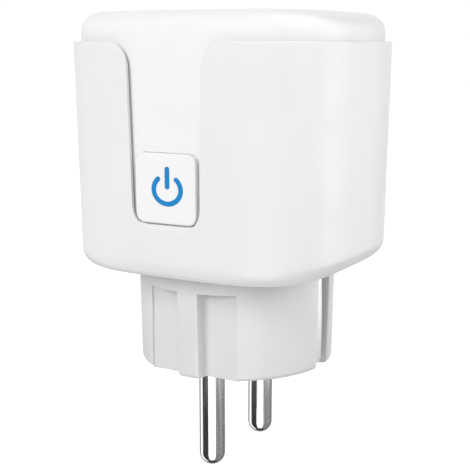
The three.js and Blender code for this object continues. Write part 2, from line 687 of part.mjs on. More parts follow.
// a board that stands on the main board, from y to y + thickness
function standingBoard(halfWidth, y, thickness) {
  return block(-halfWidth, halfWidth, y, y + thickness, ABOVE_BOARD + 0.1, TUBE_BOTTOM - 0.4);
}

// ---- electronics ----
// the middle [x, y] of each part on or under the main board, then its size [along x, along y, height]
const RELAY_PLACE = [[-3.95, 0], [18.5, 10, 13.6]];
const LOAD_BUSBAR_PLACE = [[-7.85, -9.5], [8.3, 3, 0.8]];
const NEUTRAL_BUSBAR_PLACE = [[-7.85, 9.5], [8.3, 3, 0.8]];
const METERING_CHIP_PLACE = [[8.5, 5.5], [5, 4, 1.6]];
const SUPPLY_CHIP_PLACE = [[8, 11.25], [4, 3.5, 1.6]];
const LINK_HEADER_PLACE = [[0, -15.15], [10, 1.9, 2.5]];

function boxAt([[x, y], [width, depth, height]], bottom) {
  return block(x - width / 2, x + width / 2, y - depth / 2, y + depth / 2, bottom, bottom + height);
}

const onBoard = (place) => boxAt(place, ABOVE_BOARD);
const underBoard = (place) => boxAt(place, BELOW_BOARD - place[1][2]);

function mainBoard() {
  const notches = CORNERS.map(([sx, sy]) =>
    upright(SCREW_RADIUS + 2, BOARD_BOTTOM - 1, BOARD_TOP + 1, sx * SCREW_PLACE, sy * SCREW_PLACE));
  const boardHalf = 18.5;
  return cut(straightSquare(boardHalf, BOARD_BOTTOM, BOARD_TOP), ...notches);
}

// a round can with a rounded end, hanging under the board
function filterCapacitor(side) {
  const [x, y, radius, length, edge] = [9, side * 8.6, 3.15, 12.1, 0.5];
  const bottom = BELOW_BOARD - length;
  const profile = [
    [0, bottom],
    [radius - edge, bottom],
    [radius, bottom + edge],
    [radius, BELOW_BOARD],
    [0, BELOW_BOARD],
  ];
  return turned(profile, x, y);
}

// a bobbin: a wound waist between two flanges
function choke() {
  const [x, y, radius, length, waist, flange] = [-8.6, 8.8, 3.2, 9.9, 0.5, 1];
  const bottom = BELOW_BOARD - length;
  const profile = [
    [0, bottom],
    [radius, bottom],
    [radius, bottom + flange],
    [radius - waist, bottom + flange],
    [radius - waist, BELOW_BOARD - flange],
    [radius, BELOW_BOARD - flange],
    [radius, BELOW_BOARD],
    [0, BELOW_BOARD],
  ];
  return turned(profile, x, y);
}

function varistor() {
  const radius = 4;
  return crosswise(radius, -10.1, -7.1, -8.2, BELOW_BOARD - radius);
}

function fuseResistor() {
  const radius = 1.3;
  return crosswise(radius, -13, -5, 9, ABOVE_BOARD + radius + 0.1, 14);
}

// a small flat arch of metal that the current is measured across
function currentShunt() {
  const [x, y, foot, span, rise, thickness, halfWidth] = [-9.5, -4.6, 1.5, 2, 1.6, 0.4, 1];
  const low = ABOVE_BOARD + thickness / 2;
  const line = [
    [x - span - foot, low],
    [x - span, low],
    [x - span, low + rise],
    [x + span, low + rise],
    [x + span, low],
    [x + span + foot, low],
  ];
  return bentStrip(line, thickness, halfWidth, y);
}

function wirelessShield() {
  const [halfWidth, front, depth, low, high] = [6.2, 18.7, 2, 29, 43];
  return block(-halfWidth, halfWidth, front, front + depth, low, high);
}

const group = new THREE.Group();
function add(name, solid, look) {
  const mesh = new THREE.Mesh(geometryFrom(solid), look);
  mesh.name = name;
  group.add(mesh);
}

function addHousing() {
  add('outer_sleeve', outerSleeve(), whitePlastic);
  add('inner_shell', innerShell(), whitePlastic);
  add('socket_floor', socketFloor(), whitePlastic);
  add('plug_base', plugBase(), whitePlastic);
  CORNERS.forEach(([sx, sy], index) => {
    add(`base_screw_${index + 1}`, baseScrew(sx * SCREW_PLACE, sy * SCREW_PLACE), steel);
  });
}

function addContacts() {
  add('live_pin', mainsPin(-1), nickel);
  add('neutral_pin', mainsPin(1), nickel);
  add('live_pin_strap', pinStrap(-1), copper);
  add('neutral_pin_strap', pinStrap(1), copper);
  add('earth_pin_socket', earthPinSocket(), nickel);
  add('side_earth_contact_right', sideEarthContact(1), nickel);
  add('side_earth_contact_left', sideEarthContact(-1), nickel);
  add('live_socket_contact', socketContact(-1), brass);
  add('neutral_socket_contact', socketContact(1), brass);
  add('earth_clip_right', earthClip(1), nickel);
  add('earth_clip_left', earthClip(-1), nickel);
  add('earth_strap', earthStrap(), brass);
  add('contact_carrier', contactCarrier(), greyPlastic);
  add('shutter', shutterPlate(), whitePlastic);
  add('shutter_spring', shutterSpring(), steel);
}

function addButton() {
  add('power_button', powerButton(), buttonPlastic);
  add('button_light_guide', buttonLightGuide(), blueGuide);
  add('switch_body', switchBody(), blackPlastic);
  add('switch_plunger', switchPlunger(), blackPlastic);
  add('status_led', statusLed(), ledClear);
  add('button_board', standingBoard(LINK_BOARD_HALF, LINK_BOARD_FRONT, 1), boardGreen);
  add('board_link_header', onBoard(LINK_HEADER_PLACE), blackPlastic);
}

function addElectronics() {
  add('main_board', mainBoard(), boardGreen);
  add('relay', underBoard(RELAY_PLACE), relayBlue);
  add('filter_capacitor_1', filterCapacitor(1), blackPlastic);
  add('filter_capacitor_2', filterCapacitor(-1), blackPlastic);
  add('choke', choke(), copper);
  add('varistor', varistor(), ceramicBlue);
  add('fuse_resistor', fuseResistor(), resistorTan);
  add('current_shunt', currentShunt(), copper);
  add('load_busbar', onBoard(LOAD_BUSBAR_PLACE), copper);
  add('neutral_busbar', onBoard(NEUTRAL_BUSBAR_PLACE), copper);
  add('metering_chip', onBoard(METERING_CHIP_PLACE), blackPlastic);
  add('power_supply_chip', onBoard(SUPPLY_CHIP_PLACE), blackPlastic);
  add('wireless_board', standingBoard(8, 17.6, 0.8), boardGreen);
  add('wireless_shield', wirelessShield(), steel);
}

addHousing();
addContacts();
addButton();
addElectronics();

export default group;
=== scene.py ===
"""Looks for the smart plug: finer pieces, materials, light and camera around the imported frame."""
import math
import bpy
import numpy as np
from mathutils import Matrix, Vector


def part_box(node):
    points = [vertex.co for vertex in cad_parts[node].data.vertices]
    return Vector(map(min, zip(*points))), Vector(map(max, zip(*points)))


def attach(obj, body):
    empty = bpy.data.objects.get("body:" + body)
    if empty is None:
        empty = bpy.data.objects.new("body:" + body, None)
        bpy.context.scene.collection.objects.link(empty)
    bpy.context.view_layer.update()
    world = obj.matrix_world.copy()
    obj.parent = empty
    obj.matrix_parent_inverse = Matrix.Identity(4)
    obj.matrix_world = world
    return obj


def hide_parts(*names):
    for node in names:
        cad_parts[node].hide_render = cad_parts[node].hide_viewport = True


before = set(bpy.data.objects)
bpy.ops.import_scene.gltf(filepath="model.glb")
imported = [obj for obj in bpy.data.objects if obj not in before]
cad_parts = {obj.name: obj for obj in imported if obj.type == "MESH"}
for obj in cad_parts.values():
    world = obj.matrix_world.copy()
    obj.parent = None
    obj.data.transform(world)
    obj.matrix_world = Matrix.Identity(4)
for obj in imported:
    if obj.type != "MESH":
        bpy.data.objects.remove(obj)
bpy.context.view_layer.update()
MM = 0.001


def ends(node, axis):
    """Lowest and highest coordinate of a CAD node along one axis, in millimetres."""
    low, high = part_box(node)
    return low[axis] / MM, high[axis] / MM


# ---- sizes, in millimetres, in the frame's own coordinates ----
SLEEVE_BOTTOM, SLEEVE_TOP = ends("outer_sleeve", 2)
SLEEVE_TOP_HALF = ends("outer_sleeve", 0)[1]
SLEEVE_FOOT_HALF = SLEEVE_TOP_HALF - 0.58
SHELL_BOTTOM, SHELL_TOP = ends("inner_shell", 2)
POWER = 3.84  # of the superellipse that every square outline follows
SLEEVE_WALL = 0.65
LIP_HEIGHT = 2.0
LIP_HALF = 20.6
SLEEVE_ROUND = 3.2
SLOT_BOTTOM = 27.85
SLOT_HALF_LOW = 6.7
SLOT_HALF_HIGH = 7.2
SLOT_CORNER = 3.8
SLOT_SHOULDER = 4.1
SLOT_SILL = 0.75
SLOT_SILL_REACH = 1.2

SHELL_INSET = 1.15
SHELL_WALL = 1.6
SHELL_ROUND = 3.55
RECESS_RADIUS = 19.8
RECESS_FLOOR = SHELL_TOP - 17.5
RECESS_EDGE = 0.3
TUBE_BOTTOM = 44.0
CEILING = SHELL_TOP - 2.0
RIB_NEAR, RIB_FAR, RIB_FACE = 3.0, 8.0, 16.4
RIB_LOW, RIB_HIGH = 47.0, SHELL_TOP - 2.0
RIB_CHAMFER = 0.3
WINDOW_HALF = 2.8
WINDOW_TOP = SHELL_TOP - 3.4

BUTTON_HALF_WIDTH = 6.0
BUTTON_HALF_HEIGHT = 5.95
BUTTON_CENTRE = 34.8
BUTTON_CORNER = 1.65
BUTTON_SOFT_EDGE = 0.45
BUTTON_FACE = ends("power_button", 1)[0]
OPENING_GAP = 0.04

BASE_FOOT_RADIUS = 18.1
BASE_TOP_RADIUS = 18.45
PIN_OFFSET = 9.5
PIN_RADIUS = 2.4
PIN_LENGTH = 19.0
EARTH_HOLE_PLACE = 10.0
SCREW_PLACE = 15.0
COLUMNS = 256  # points round a square outline
STEP = 0.02  # between two rings that meet at a sharp step
TINY = 1e-6


# ---- making pieces ----
def new_mesh(name, vertices, faces):
    """A mesh from points in millimetres."""
    mesh = bpy.data.meshes.new(name)
    mesh.from_pydata([tuple(float(c) * MM for c in v) for v in vertices], [], [tuple(f) for f in faces])
    return mesh


def new_object(name, data):
    piece = bpy.data.objects.new(name, data)
    bpy.context.scene.collection.objects.link(piece)
    return piece


def make(name, vertices, faces, body="housing", nodes=(), slot="white_plastic", look=None, sharp=40.0):
    """A mesh piece from points in millimetres. It rides on a body and stands for CAD nodes."""
    mesh = new_mesh(name, vertices, faces)
    mesh.update()
    piece = new_object(name, mesh)
    finish_mesh(piece, sharp)
    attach(piece, body)
    if nodes:
        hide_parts(*nodes)
    piece.data.materials.append(materials[look or slot])
    return piece


def finish_mesh(piece, sharp=40.0):
    mesh = piece.data
    mesh.polygons.foreach_set("use_smooth", [True] * len(mesh.polygons))
    mesh.set_sharp_from_angle(angle=math.radians(sharp))
    modifier = piece.modifiers.new("even_normals", "WEIGHTED_NORMAL")
    modifier.keep_sharp = True


def carve(piece, solids, sharp=40.0):
    """Cuts closed solids, each a (vertices, faces) pair in millimetres, out of a piece."""
    cutter = new_object("cutter", new_mesh("cutter", *merged(solids)))
    piece.modifiers.clear()
    boolean = piece.modifiers.new("carve", "BOOLEAN")
    boolean.operation = "DIFFERENCE"
    boolean.solver = "EXACT"
    boolean.object = cutter
    graph = bpy.context.evaluated_depsgraph_get()
    carved = bpy.data.meshes.new_from_object(piece.evaluated_get(graph))
    piece.modifiers.clear()
    piece.data = carved
    bpy.data.objects.remove(cutter)
    finish_mesh(piece, sharp)


def merged(solids):
    vertices, faces = [], []
    for points, polygons in solids:
        start = len(vertices)
        vertices.extend(points)
        faces.extend([tuple(start + corner for corner in polygon) for polygon in polygons])
    return vertices, faces


def facing_out(vertices, faces):
    """The faces of a closed solid, turned round if they face inwards."""
    points = np.array(vertices, float)
    volume = 0.0
    for face in faces:
        first = points[face[0]]
        for a, b in zip(face[1:], face[2:]):
            volume += float(first @ np.cross(points[a], points[b]))
    return faces if volume > 0 else [tuple(reversed(face)) for face in faces]


def lofted(rings, close_start=True, close_end=True, loop=False):
    """Rings with the same number of points, joined by quads; the ends are closed by one face."""
    size = len(rings[0])
    vertices = [tuple(point) for ring in rings for point in ring]
    faces = []
    count = len(rings)
    for level in range(count if loop else count - 1):
        low, high = level * size, ((level + 1) % count) * size
        for step in range(size):
            after = (step + 1) % size
            faces.append((low + step, low + after, high + after, high + step))
    if close_start and not loop:
        faces.append(tuple(range(size - 1, -1, -1)))
    if close_end and not loop:
        faces.append(tuple(range((count - 1) * size, count * size)))
    return vertices, facing_out(vertices, faces)


def turned(profile, x=0.0, y=0.0, steps=64, loop=False):
    """A solid of revolution about a vertical axis; the profile goes upwards on the outside."""
    rings = []
    for radius, z in profile:
        angles = np.arange(steps) * 2 * math.pi / steps
        rings.append([(x + radius * math.cos(a), y + radius * math.sin(a), z) for a in angles])
    return lofted(rings, loop=loop)


def arc(cx, cy, radius, start, end, steps):
    """Points of an arc, both ends included; angles in degrees."""
    angles = np.radians(np.linspace(start, end, steps + 1))
    return [(cx + radius * math.cos(a), cy + radius * math.sin(a)) for a in angles]


def resampled(path, count):
    """The path's points redrawn as count points at even steps."""
    points = np.array(path, float)
    lengths = np.r_[0, np.cumsum(np.linalg.norm(np.diff(points, axis=0), axis=1))]
    even = np.linspace(0, lengths[-1], count)
    return np.stack([np.interp(even, lengths, points[:, k]) for k in range(points.shape[1])], 1)


def box_solid(x0, x1, y0, y1, z0, z1):
    rings = [[(x0, y0, z), (x1, y0, z), (x1, y1, z), (x0, y1, z)] for z in (z0, z1)]
    return lofted(rings)


# ---- the rounded-square surface ----
def half_at(z):
    share = (z - SLEEVE_BOTTOM) / (SLEEVE_TOP - SLEEVE_BOTTOM)
    return SLEEVE_FOOT_HALF + share * (SLEEVE_TOP_HALF - SLEEVE_FOOT_HALF)


def unit_outline():
    """Even steps round the superellipse of half side 1, from the middle of the -Y side towards +X."""
    t = np.linspace(-math.pi / 2, math.pi * 1.5, 40001)
    x = np.sign(np.cos(t)) * np.abs(np.cos(t)) ** (2 / POWER)
    y = np.sign(np.sin(t)) * np.abs(np.sin(t)) ** (2 / POWER)
    lengths = np.r_[0, np.cumsum(np.hypot(np.diff(x), np.diff(y)))]
    even = np.linspace(0, lengths[-1], COLUMNS + 1)[:-1]
    return np.stack([np.interp(even, lengths, x), np.interp(even, lengths, y)], 1)


def outward(points):
    """Horizontal outward directions at points of a superellipse outline."""
    gradient = np.sign(points[:, :2]) * np.abs(points[:, :2]) ** (POWER - 1)
    gradient /= np.linalg.norm(gradient, axis=1)[:, None]
    return np.c_[gradient, np.zeros(len(points))]


def on_front(x, z, inset):
    """The point of the -Y side at x and z."""
    half = half_at(z) - inset
    return np.array([x, -half * (1 - abs(x / half) ** POWER) ** (1 / POWER), z])


UNIT = unit_outline()


def square_ring(half, z):
    return np.c_[UNIT * half, np.full(COLUMNS, z)]


# ---- a sheet with thickness, whose free edges are rounded ----
SHARPEST_TURN = -0.5  # the cosine beyond which a corner of the rim isn't drawn in any further


def thick_sheet(front, back, faces, edge_radius, steps=3):
    """Front and back are matching points; faces run counter-clockwise seen from the front.

    edge_radius gives the rounding of the free edge at a point of the front.
    """
    front, back = np.array(front, float), np.array(back, float)
    directed = {(a, b) for face in faces for a, b in zip(face, face[1:] + face[:1])}
    rim = sorted(edge for edge in directed if (edge[1], edge[0]) not in directed)
    through = front - back
    lengths = np.linalg.norm(through, axis=1)[:, None]
    through = through / np.maximum(lengths, 1e-9)
    into = {}
    for a, b in rim:
        along = front[b] - front[a]
        for corner in (a, b):
            side = np.cross(through[corner], along)
            into.setdefault(corner, []).append(side / max(np.linalg.norm(side), 1e-9))
    vertices = [tuple(p) for p in front] + [tuple(p) for p in back]
    count = len(front)
    polygons = [tuple(face) for face in faces]
    polygons += [tuple(corner + count for corner in reversed(face)) for face in faces]
    levels = {}
    for corner, sides in into.items():
        first, last = sides[0], sides[-1]
        shift = (first + last) / (1 + max(float(first @ last), SHARPEST_TURN))
        rounding = edge_radius(front[corner])
        ladder = [corner]
        for surface, sign, start in ((front, -1, 0), (back, 1, count)):
            rungs = []
            for step in range(steps + 1):
                angle = step / steps * math.pi / 2
                place = surface[corner] + shift * rounding * (1 - math.sin(angle))
                place = place + sign * through[corner] * rounding * (1 - math.cos(angle))
                if step == 0:
                    vertices[corner + start] = tuple(place)
                else:
                    rungs.append(len(vertices))
                    vertices.append(tuple(place))
            ladder += rungs if sign < 0 else rungs[::-1]
        ladder.append(corner + count)
        levels[corner] = ladder
    for a, b in rim:
        for level in range(len(levels[a]) - 1):
            low, high = levels[a], levels[b]
            polygons.append((high[level], low[level], low[level + 1], high[level + 1]))
    return vertices, polygons


class Surface:
    """Matching front and back points on a grid of columns and rows, with patches woven in."""

    def __init__(self, front_rows, back_rows):
        self.columns = len(front_rows[0])
        self.rows = len(front_rows)
        self.front = [p for row in front_rows for p in row]
        self.back = [p for row in back_rows for p in row]
        self.faces = []

    def at(self, column, row):
        return row * self.columns + column % self.columns

    def solid(self, edge_radius):
        """The thick sheet of the faces so far, without the grid points that none of them uses."""
        used = sorted({corner for face in self.faces for corner in face})
        place = {old: new for new, old in enumerate(used)}
        faces = [tuple(place[corner] for corner in face) for face in self.faces]
        return thick_sheet([self.front[k] for k in used], [self.back[k] for k in used], faces, edge_radius)

    def fill(self, skip):
        for row in range(self.rows - 1):
            for column in range(self.columns):
                if not skip(column, row):
                    self.faces.append((self.at(column, row), self.at(column, row + 1),
                                       self.at(column + 1, row + 1), self.at(column + 1, row)))

    def weave(self, border, hole, shares, inset, wall, closed):
        """Rings of points from the hole's outline out to grid points of the -Y side."""
        rings = [list(border)]
        border_points = np.array([self.front[k] for k in border])
        for share in shares:
            ring = []
            for point, (x, z) in zip(border_points, hole):
                place = on_front(x + share * (point[0] - x), z + share * (point[2] - z), inset)
                ring.append(len(self.front))
                self.front.append(place)
                self.back.append(place - outward(place[None, :])[0] * wall)
            rings.append(ring)
        count = len(border)
        for outer, inner in zip(rings, rings[1:]):
            for k in range(count if closed else count - 1):
                after = (k + 1) % count
                self.faces.append((outer[k], outer[after], inner[after], inner[k]))


# ---- materials ----
def put(node, values):
    """Sets values on the node's own sockets."""
    for name, value in values.items():
        node.inputs[name].default_value = value


class Look:
    """A node tree that is being made. Scales are per metre of the object's own coordinates."""

    def __init__(self, owner):
        owner.use_nodes = True
        self.tree = owner.node_tree
        self.place = self.add("TexCoord")

    def add(self, kind):
        return self.tree.nodes.new("ShaderNode" + kind)

    def link(self, source, target):
        self.tree.links.new(source, target)

    def noise(self, scale, detail=3.0, stretch=(1, 1, 1)):
        mapping = self.add("Mapping")
        put(mapping, {"Scale": stretch})
        self.link(self.place.outputs["Object"], mapping.inputs["Vector"])
        texture = self.add("TexNoise")
        put(texture, {"Scale": scale, "Detail": detail})
        self.link(mapping.outputs["Vector"], texture.inputs["Vector"])
        return texture.outputs["Fac"]

    def spread(self, source, low, high, start=0.3, end=0.7):
        """The source's values from start to end, mapped to low to high."""
        node = self.add("MapRange")
        put(node, {"From Min": start, "From Max": end, "To Min": low, "To Max": high})
        self.link(source, node.inputs["Value"])
        return node.outputs["Result"]

    def ramp(self, source, stops):
        """Colours by the source's value, from (value, colour) pairs in rising order."""
        node = self.add("ValToRGB")
        elements = node.color_ramp.elements
        for index, (position, colour) in enumerate(stops):
            element = elements[index] if index < 2 else elements.new(position)
            element.position = position
            element.color = (*colour, 1)
        self.link(source, node.inputs["Fac"])
        return node.outputs["Color"]

    def between(self, source, first, second):
        return self.ramp(source, ((0.3, first), (0.7, second)))

    def bump(self, shader, source, strength, distance):
        node = self.add("Bump")
        put(node, {"Strength": strength, "Distance": distance})
        self.link(source, node.inputs["Height"])
        self.link(node.outputs["Normal"], shader.inputs["Normal"])


def new_material(name):
    material = bpy.data.materials.new(name)
    look = Look(material)
    return material, look, look.tree.nodes["Principled BSDF"]


def moulded(name, first, second, gloss=(0.3, 0.42)):
    """Moulded plastic: faint cloudiness, a fine spark-eroded grain and slightly uneven gloss."""
    material, look, shader = new_material(name)
    look.link(look.between(look.noise(55.0, 4.0), first, second), shader.inputs["Base Color"])
    look.link(look.spread(look.noise(180.0), *gloss), shader.inputs["Roughness"])
    look.bump(shader, look.noise(2600.0, 2.0), 0.05, 0.00004)
    put(shader, {"IOR": 1.5})
    return material


def metal(name, first, second, gloss=(0.08, 0.16), stretch=(1, 1, 0.04)):
    """Plated or rolled metal with fine marks drawn out along one direction."""
    material, look, shader = new_material(name)
    marks = look.noise(2500.0, 3.0, stretch)
    look.link(look.between(look.noise(120.0), first, second), shader.inputs["Base Color"])
    look.link(look.spread(marks, *gloss), shader.inputs["Roughness"])
    look.bump(shader, marks, 0.03, 0.00002)
    put(shader, {"Metallic": 1.0})
    return material


def glowing(name, first, second, glow, strength):
    """Clear plastic lit from behind, with a faint cloudiness."""
    material, look, shader = new_material(name)
    look.link(look.between(look.noise(420.0, 2.0), first, second), shader.inputs["Base Color"])
    look.link(look.spread(look.noise(900.0), 0.22, 0.32), shader.inputs["Roughness"])
    put(shader, {"Specular IOR Level": 0.25, "Emission Color": (*glow, 1), "Emission Strength": strength})
    return material


def board_look(name):
    """Solder mask over glass cloth, with a faint weave."""
    material, look, shader = new_material(name)
    weave = look.add("TexBrick")
    put(weave, {"Scale": 900.0, "Color1": (0.010, 0.115, 0.040, 1), "Color2": (0.014, 0.135, 0.048, 1),
                "Mortar": (0.008, 0.095, 0.034, 1)})
    look.link(look.place.outputs["Object"], weave.inputs["Vector"])
    look.link(weave.outputs["Color"], shader.inputs["Base Color"])
    look.link(look.spread(look.noise(300.0), 0.28, 0.4), shader.inputs["Roughness"])
    look.bump(shader, weave.outputs["Fac"], 0.05, 0.00003)
    return material


# two shades, then how rough, then for some metals how far their marks are drawn out
PLASTICS = {
    "white_plastic": ((0.80, 0.80, 0.795), (0.82, 0.82, 0.815)),
    # the shell: a lighter copy of the white plastic, which is painted light; it is also a little glossier
    "lit_shell_plastic": ((0.85, 0.85, 0.85), (0.87, 0.87, 0.87), (0.3, 0.34)),
    # the base: a darker copy of the white plastic, which is painted shade
    "shaded_base_plastic": ((0.70, 0.70, 0.697), (0.72, 0.72, 0.717)),
    "button_plastic": ((0.86, 0.86, 0.86), (0.875, 0.875, 0.875), (0.32, 0.4)),
    "grey_plastic": ((0.25, 0.26, 0.27), (0.28, 0.29, 0.3), (0.45, 0.6)),
    "black_plastic": ((0.012, 0.012, 0.013), (0.02, 0.02, 0.022), (0.4, 0.55)),
    "relay_blue": ((0.02, 0.075, 0.36), (0.03, 0.09, 0.4), (0.35, 0.5)),
    "blue_ceramic": ((0.035, 0.13, 0.35), (0.05, 0.16, 0.4), (0.25, 0.4)),
    "tan_resistor": ((0.45, 0.33, 0.19), (0.5, 0.37, 0.22), (0.45, 0.6)),
    "clear_led": ((0.62, 0.75, 0.88), (0.7, 0.82, 0.92), (0.1, 0.2)),
}
METALS = {
    "nickel": ((0.78, 0.775, 0.765), (0.82, 0.815, 0.805)),
    # a darker copy of the nickel for the contact strips: painted shade; its rougher gloss is a real satin
    # finish
    "shaded_satin_nickel": ((0.4, 0.397, 0.39), (0.44, 0.437, 0.43), (0.3, 0.4)),
    "brass": ((0.66, 0.45, 0.16), (0.72, 0.5, 0.2), (0.2, 0.34)),
    "copper": ((0.62, 0.28, 0.15), (0.7, 0.34, 0.2), (0.22, 0.36)),
    "steel": ((0.5, 0.5, 0.51), (0.58, 0.58, 0.59), (0.2, 0.32), (1, 1, 1)),
}
SYMBOL_SHADES = ((0.004, 0.13, 0.33), (0.006, 0.15, 0.36))
SYMBOL_GLOW = (0.003, 0.23, 0.55)

materials = {name: moulded(name, *finish) for name, finish in PLASTICS.items()}
materials.update({name: metal(name, *finish) for name, finish in METALS.items()})
materials["blue_light_guide"] = glowing("blue_light_guide", *SYMBOL_SHADES, SYMBOL_GLOW, 0.4)
materials["circuit_board"] = board_look("circuit_board")


# ---- sleeve ----
def slot_outline(side_count, floor_count):
    """The slot from its left shoulder down, along the bottom and up to the right shoulder."""
    shoulder_x = SLOT_HALF_HIGH + SLOT_SHOULDER
    left = arc(-shoulder_x, SLEEVE_TOP - SLOT_SHOULDER, SLOT_SHOULDER, 90, 0, 24)
    corner_x = SLOT_HALF_LOW - SLOT_CORNER
    corner = arc(-corner_x, SLOT_BOTTOM + SLOT_CORNER, SLOT_CORNER, 180, 270, 24)
    left += corner[:13]
    side = resampled(left, side_count)
    floor = resampled(corner[12:] + [(-x, z) for x, z in corner[:11:-1]], floor_count + 2)[1:-1]
    return np.concatenate([side, floor, side[::-1] * (-1, 1)])


def sleeve_edge(point):
    """A crisp edge along the slot, softer along the top rim."""
    share = (point[2] - (SLEEVE_TOP - SLOT_SHOULDER)) / SLOT_SHOULDER
    return 0.1 + 0.2 * min(max(share, 0.0), 1.0)


def sill_share(z):
    """1 along the slot's flat bottom, where its edge slopes up towards the button, and 0 elsewhere."""
    return min(max((SLOT_BOTTOM + SLOT_SILL_REACH - z) / SLOT_SILL_REACH, 0.0), 1.0)


def outer_sleeve():
    wall_low = SLEEVE_BOTTOM + SLEEVE_ROUND
    heights = np.linspace(SLEEVE_TOP, wall_low, 53)
    front, back = [], []
    for z in heights:
        ring = square_ring(half_at(z), z)
        front.append(ring)
        back.append(ring - outward(ring) * SLEEVE_WALL)
    lip_top = SLEEVE_BOTTOM + LIP_HEIGHT
    inner_foot = square_ring(half_at(lip_top), lip_top)
    inner_foot = inner_foot - outward(inner_foot) * SLEEVE_WALL
    lip_edge = square_ring(LIP_HALF, lip_top)
    steps = 9
    for step in range(1, steps + 1):
        angle = step / steps * math.pi / 2
        z = wall_low - SLEEVE_ROUND * math.sin(angle)
        front.append(square_ring(half_at(z) - SLEEVE_ROUND * (1 - math.cos(angle)), z))
        back.append(inner_foot + (lip_edge - inner_foot) * max(0, step - 2) / (steps - 1))
    back[-steps][:, 2] = (wall_low + lip_top) / 2
    front.append(square_ring(LIP_HALF, SLEEVE_BOTTOM))
    back.append(lip_edge)
    sheet = Surface(front, back)
    reach = 22
    low_row = 48
    sheet.fill(lambda column, row: row < low_row and (column < reach or column >= COLUMNS - reach))
    border = [sheet.at(-reach, row) for row in range(low_row + 1)]
    border += [sheet.at(column, low_row) for column in range(1 - reach, reach)]
    border += [sheet.at(reach, row) for row in range(low_row, -1, -1)]
    hole = slot_outline(low_row + 1, 2 * reach - 1)
    sheet.weave(border, hole, (0.84, 0.68, 0.52, 0.37, 0.24, 0.12, 0.0), 0.0, SLEEVE_WALL, False)
    for behind, (_, z) in zip(sheet.back[-len(hole):], hole):
        behind[2] += SLOT_SILL * sill_share(z)
    make("sleeve", *sheet.solid(sleeve_edge), nodes=["outer_sleeve"])


# ---- inner shell ----
def bore_columns():
    """Where each column meets the recess wall, as plain circle points and with the guide ribs."""
    angle = np.arctan2(UNIT[:, 1], UNIT[:, 0])
    plain = RECESS_RADIUS * np.c_[np.cos(angle), np.sin(angle)]
    for side in (1, -1):
        for edge in (WINDOW_HALF, -WINDOW_HALF):
            near = np.argmin(np.hypot(plain[:, 0] - side * RECESS_RADIUS, plain[:, 1] - edge))
            plain[near] = (side * math.sqrt(RECESS_RADIUS ** 2 - edge ** 2), edge)
    ribbed = plain.copy()
    for front in (1, -1):
        for side in (1, -1):
            quadrant = [k for k in range(COLUMNS) if plain[k][0] * side > 0 and plain[k][1] * front > 0]
            near = min(quadrant, key=lambda k: abs(abs(plain[k][0]) - RIB_NEAR))
            far = min(quadrant, key=lambda k: abs(abs(plain[k][0]) - RIB_FAR))
            low, high = sorted((near, far))
            xs = (RIB_NEAR, RIB_FAR) if low == near else (RIB_FAR, RIB_NEAR)
            step = RIB_CHAMFER if low == near else -RIB_CHAMFER
            inner = list(np.linspace(xs[0] + step, xs[1] - step, high - low - 3))
            across = [xs[0], xs[0], *inner, xs[1], xs[1]]
            for k, x in zip(range(low, high + 1), across):
                depth = RIB_FACE
                if k in (low, high):
                    depth = math.sqrt(RECESS_RADIUS ** 2 - x ** 2)
                elif k in (low + 1, high - 1):
                    depth = RIB_FACE + RIB_CHAMFER
                ribbed[k] = (side * x, front * depth)
    return plain, ribbed


def shell_edge(point):
    """Nearly sharp round the button, softer inside the recess."""
    return 0.05 if np.hypot(point[0], point[1]) > RECESS_RADIUS + 1 else 0.15


def recess_rows(plain, ribbed):
    """Rows up the recess wall, matching rows outside the tube, and the last row of the clip windows."""
    tube = RECESS_RADIUS + SHELL_WALL
    outside = plain * (tube / RECESS_RADIUS)
    for k, (x, y) in enumerate(plain):
        if abs(y) <= WINDOW_HALF + TINY:
            outside[k] = (math.copysign(math.sqrt(tube ** 2 - y ** 2), x), y)
    levels = [(plain, z, z) for z in (TUBE_BOTTOM, TUBE_BOTTOM + 1.5, RIB_LOW - STEP)]
    levels += [(ribbed, z, z) for z in np.linspace(RIB_LOW, WINDOW_TOP, 15)]
    window_row = len(levels) - 1
    set_back = plain + (ribbed - plain) * 0.9
    levels += [
        (ribbed, RIB_HIGH - RIB_CHAMFER, WINDOW_TOP + 0.5),
        (set_back, RIB_HIGH, WINDOW_TOP + 0.7),
        (plain, RIB_HIGH + STEP, WINDOW_TOP + 0.9),
        (plain, RIB_HIGH + 0.8, WINDOW_TOP + 1.1),
        (plain, SHELL_TOP - RECESS_EDGE, CEILING),
    ]
    front = [np.c_[points, np.full(COLUMNS, z)] for points, z, _ in levels]
    back = [np.c_[outside, np.full(COLUMNS, z)] for _, _, z in levels]
    return front, back, window_row


def rim_rows(plain):
    """Rows from the recess's rounded edge across the top and down round the shell's shoulder."""
    rows = []
    for angle in np.radians((30, 60, 90)):
        grown = plain * ((RECESS_RADIUS + RECESS_EDGE * (1 - math.cos(angle))) / RECESS_RADIUS)
        level = SHELL_TOP - RECESS_EDGE + RECESS_EDGE * math.sin(angle)
        rows.append(np.c_[grown, np.full(COLUMNS, level)])
    shoulder = []
    for angle in np.linspace(0, math.pi / 2, 11):
        z = SHELL_TOP - SHELL_ROUND * (1 - math.cos(angle))
        half = half_at(z) - SHELL_INSET - SHELL_ROUND * (1 - math.sin(angle))
        shoulder.append(square_ring(half, z))
    edge = rows[-1]
    rows += [edge + (shoulder[0] - edge) * share for share in (0.33, 0.67)]
    return rows + shoulder


BUTTON_PATCH = 9  # how far above and below the button's middle the grid is left out
BUTTON_PATCH_COLUMNS = 13


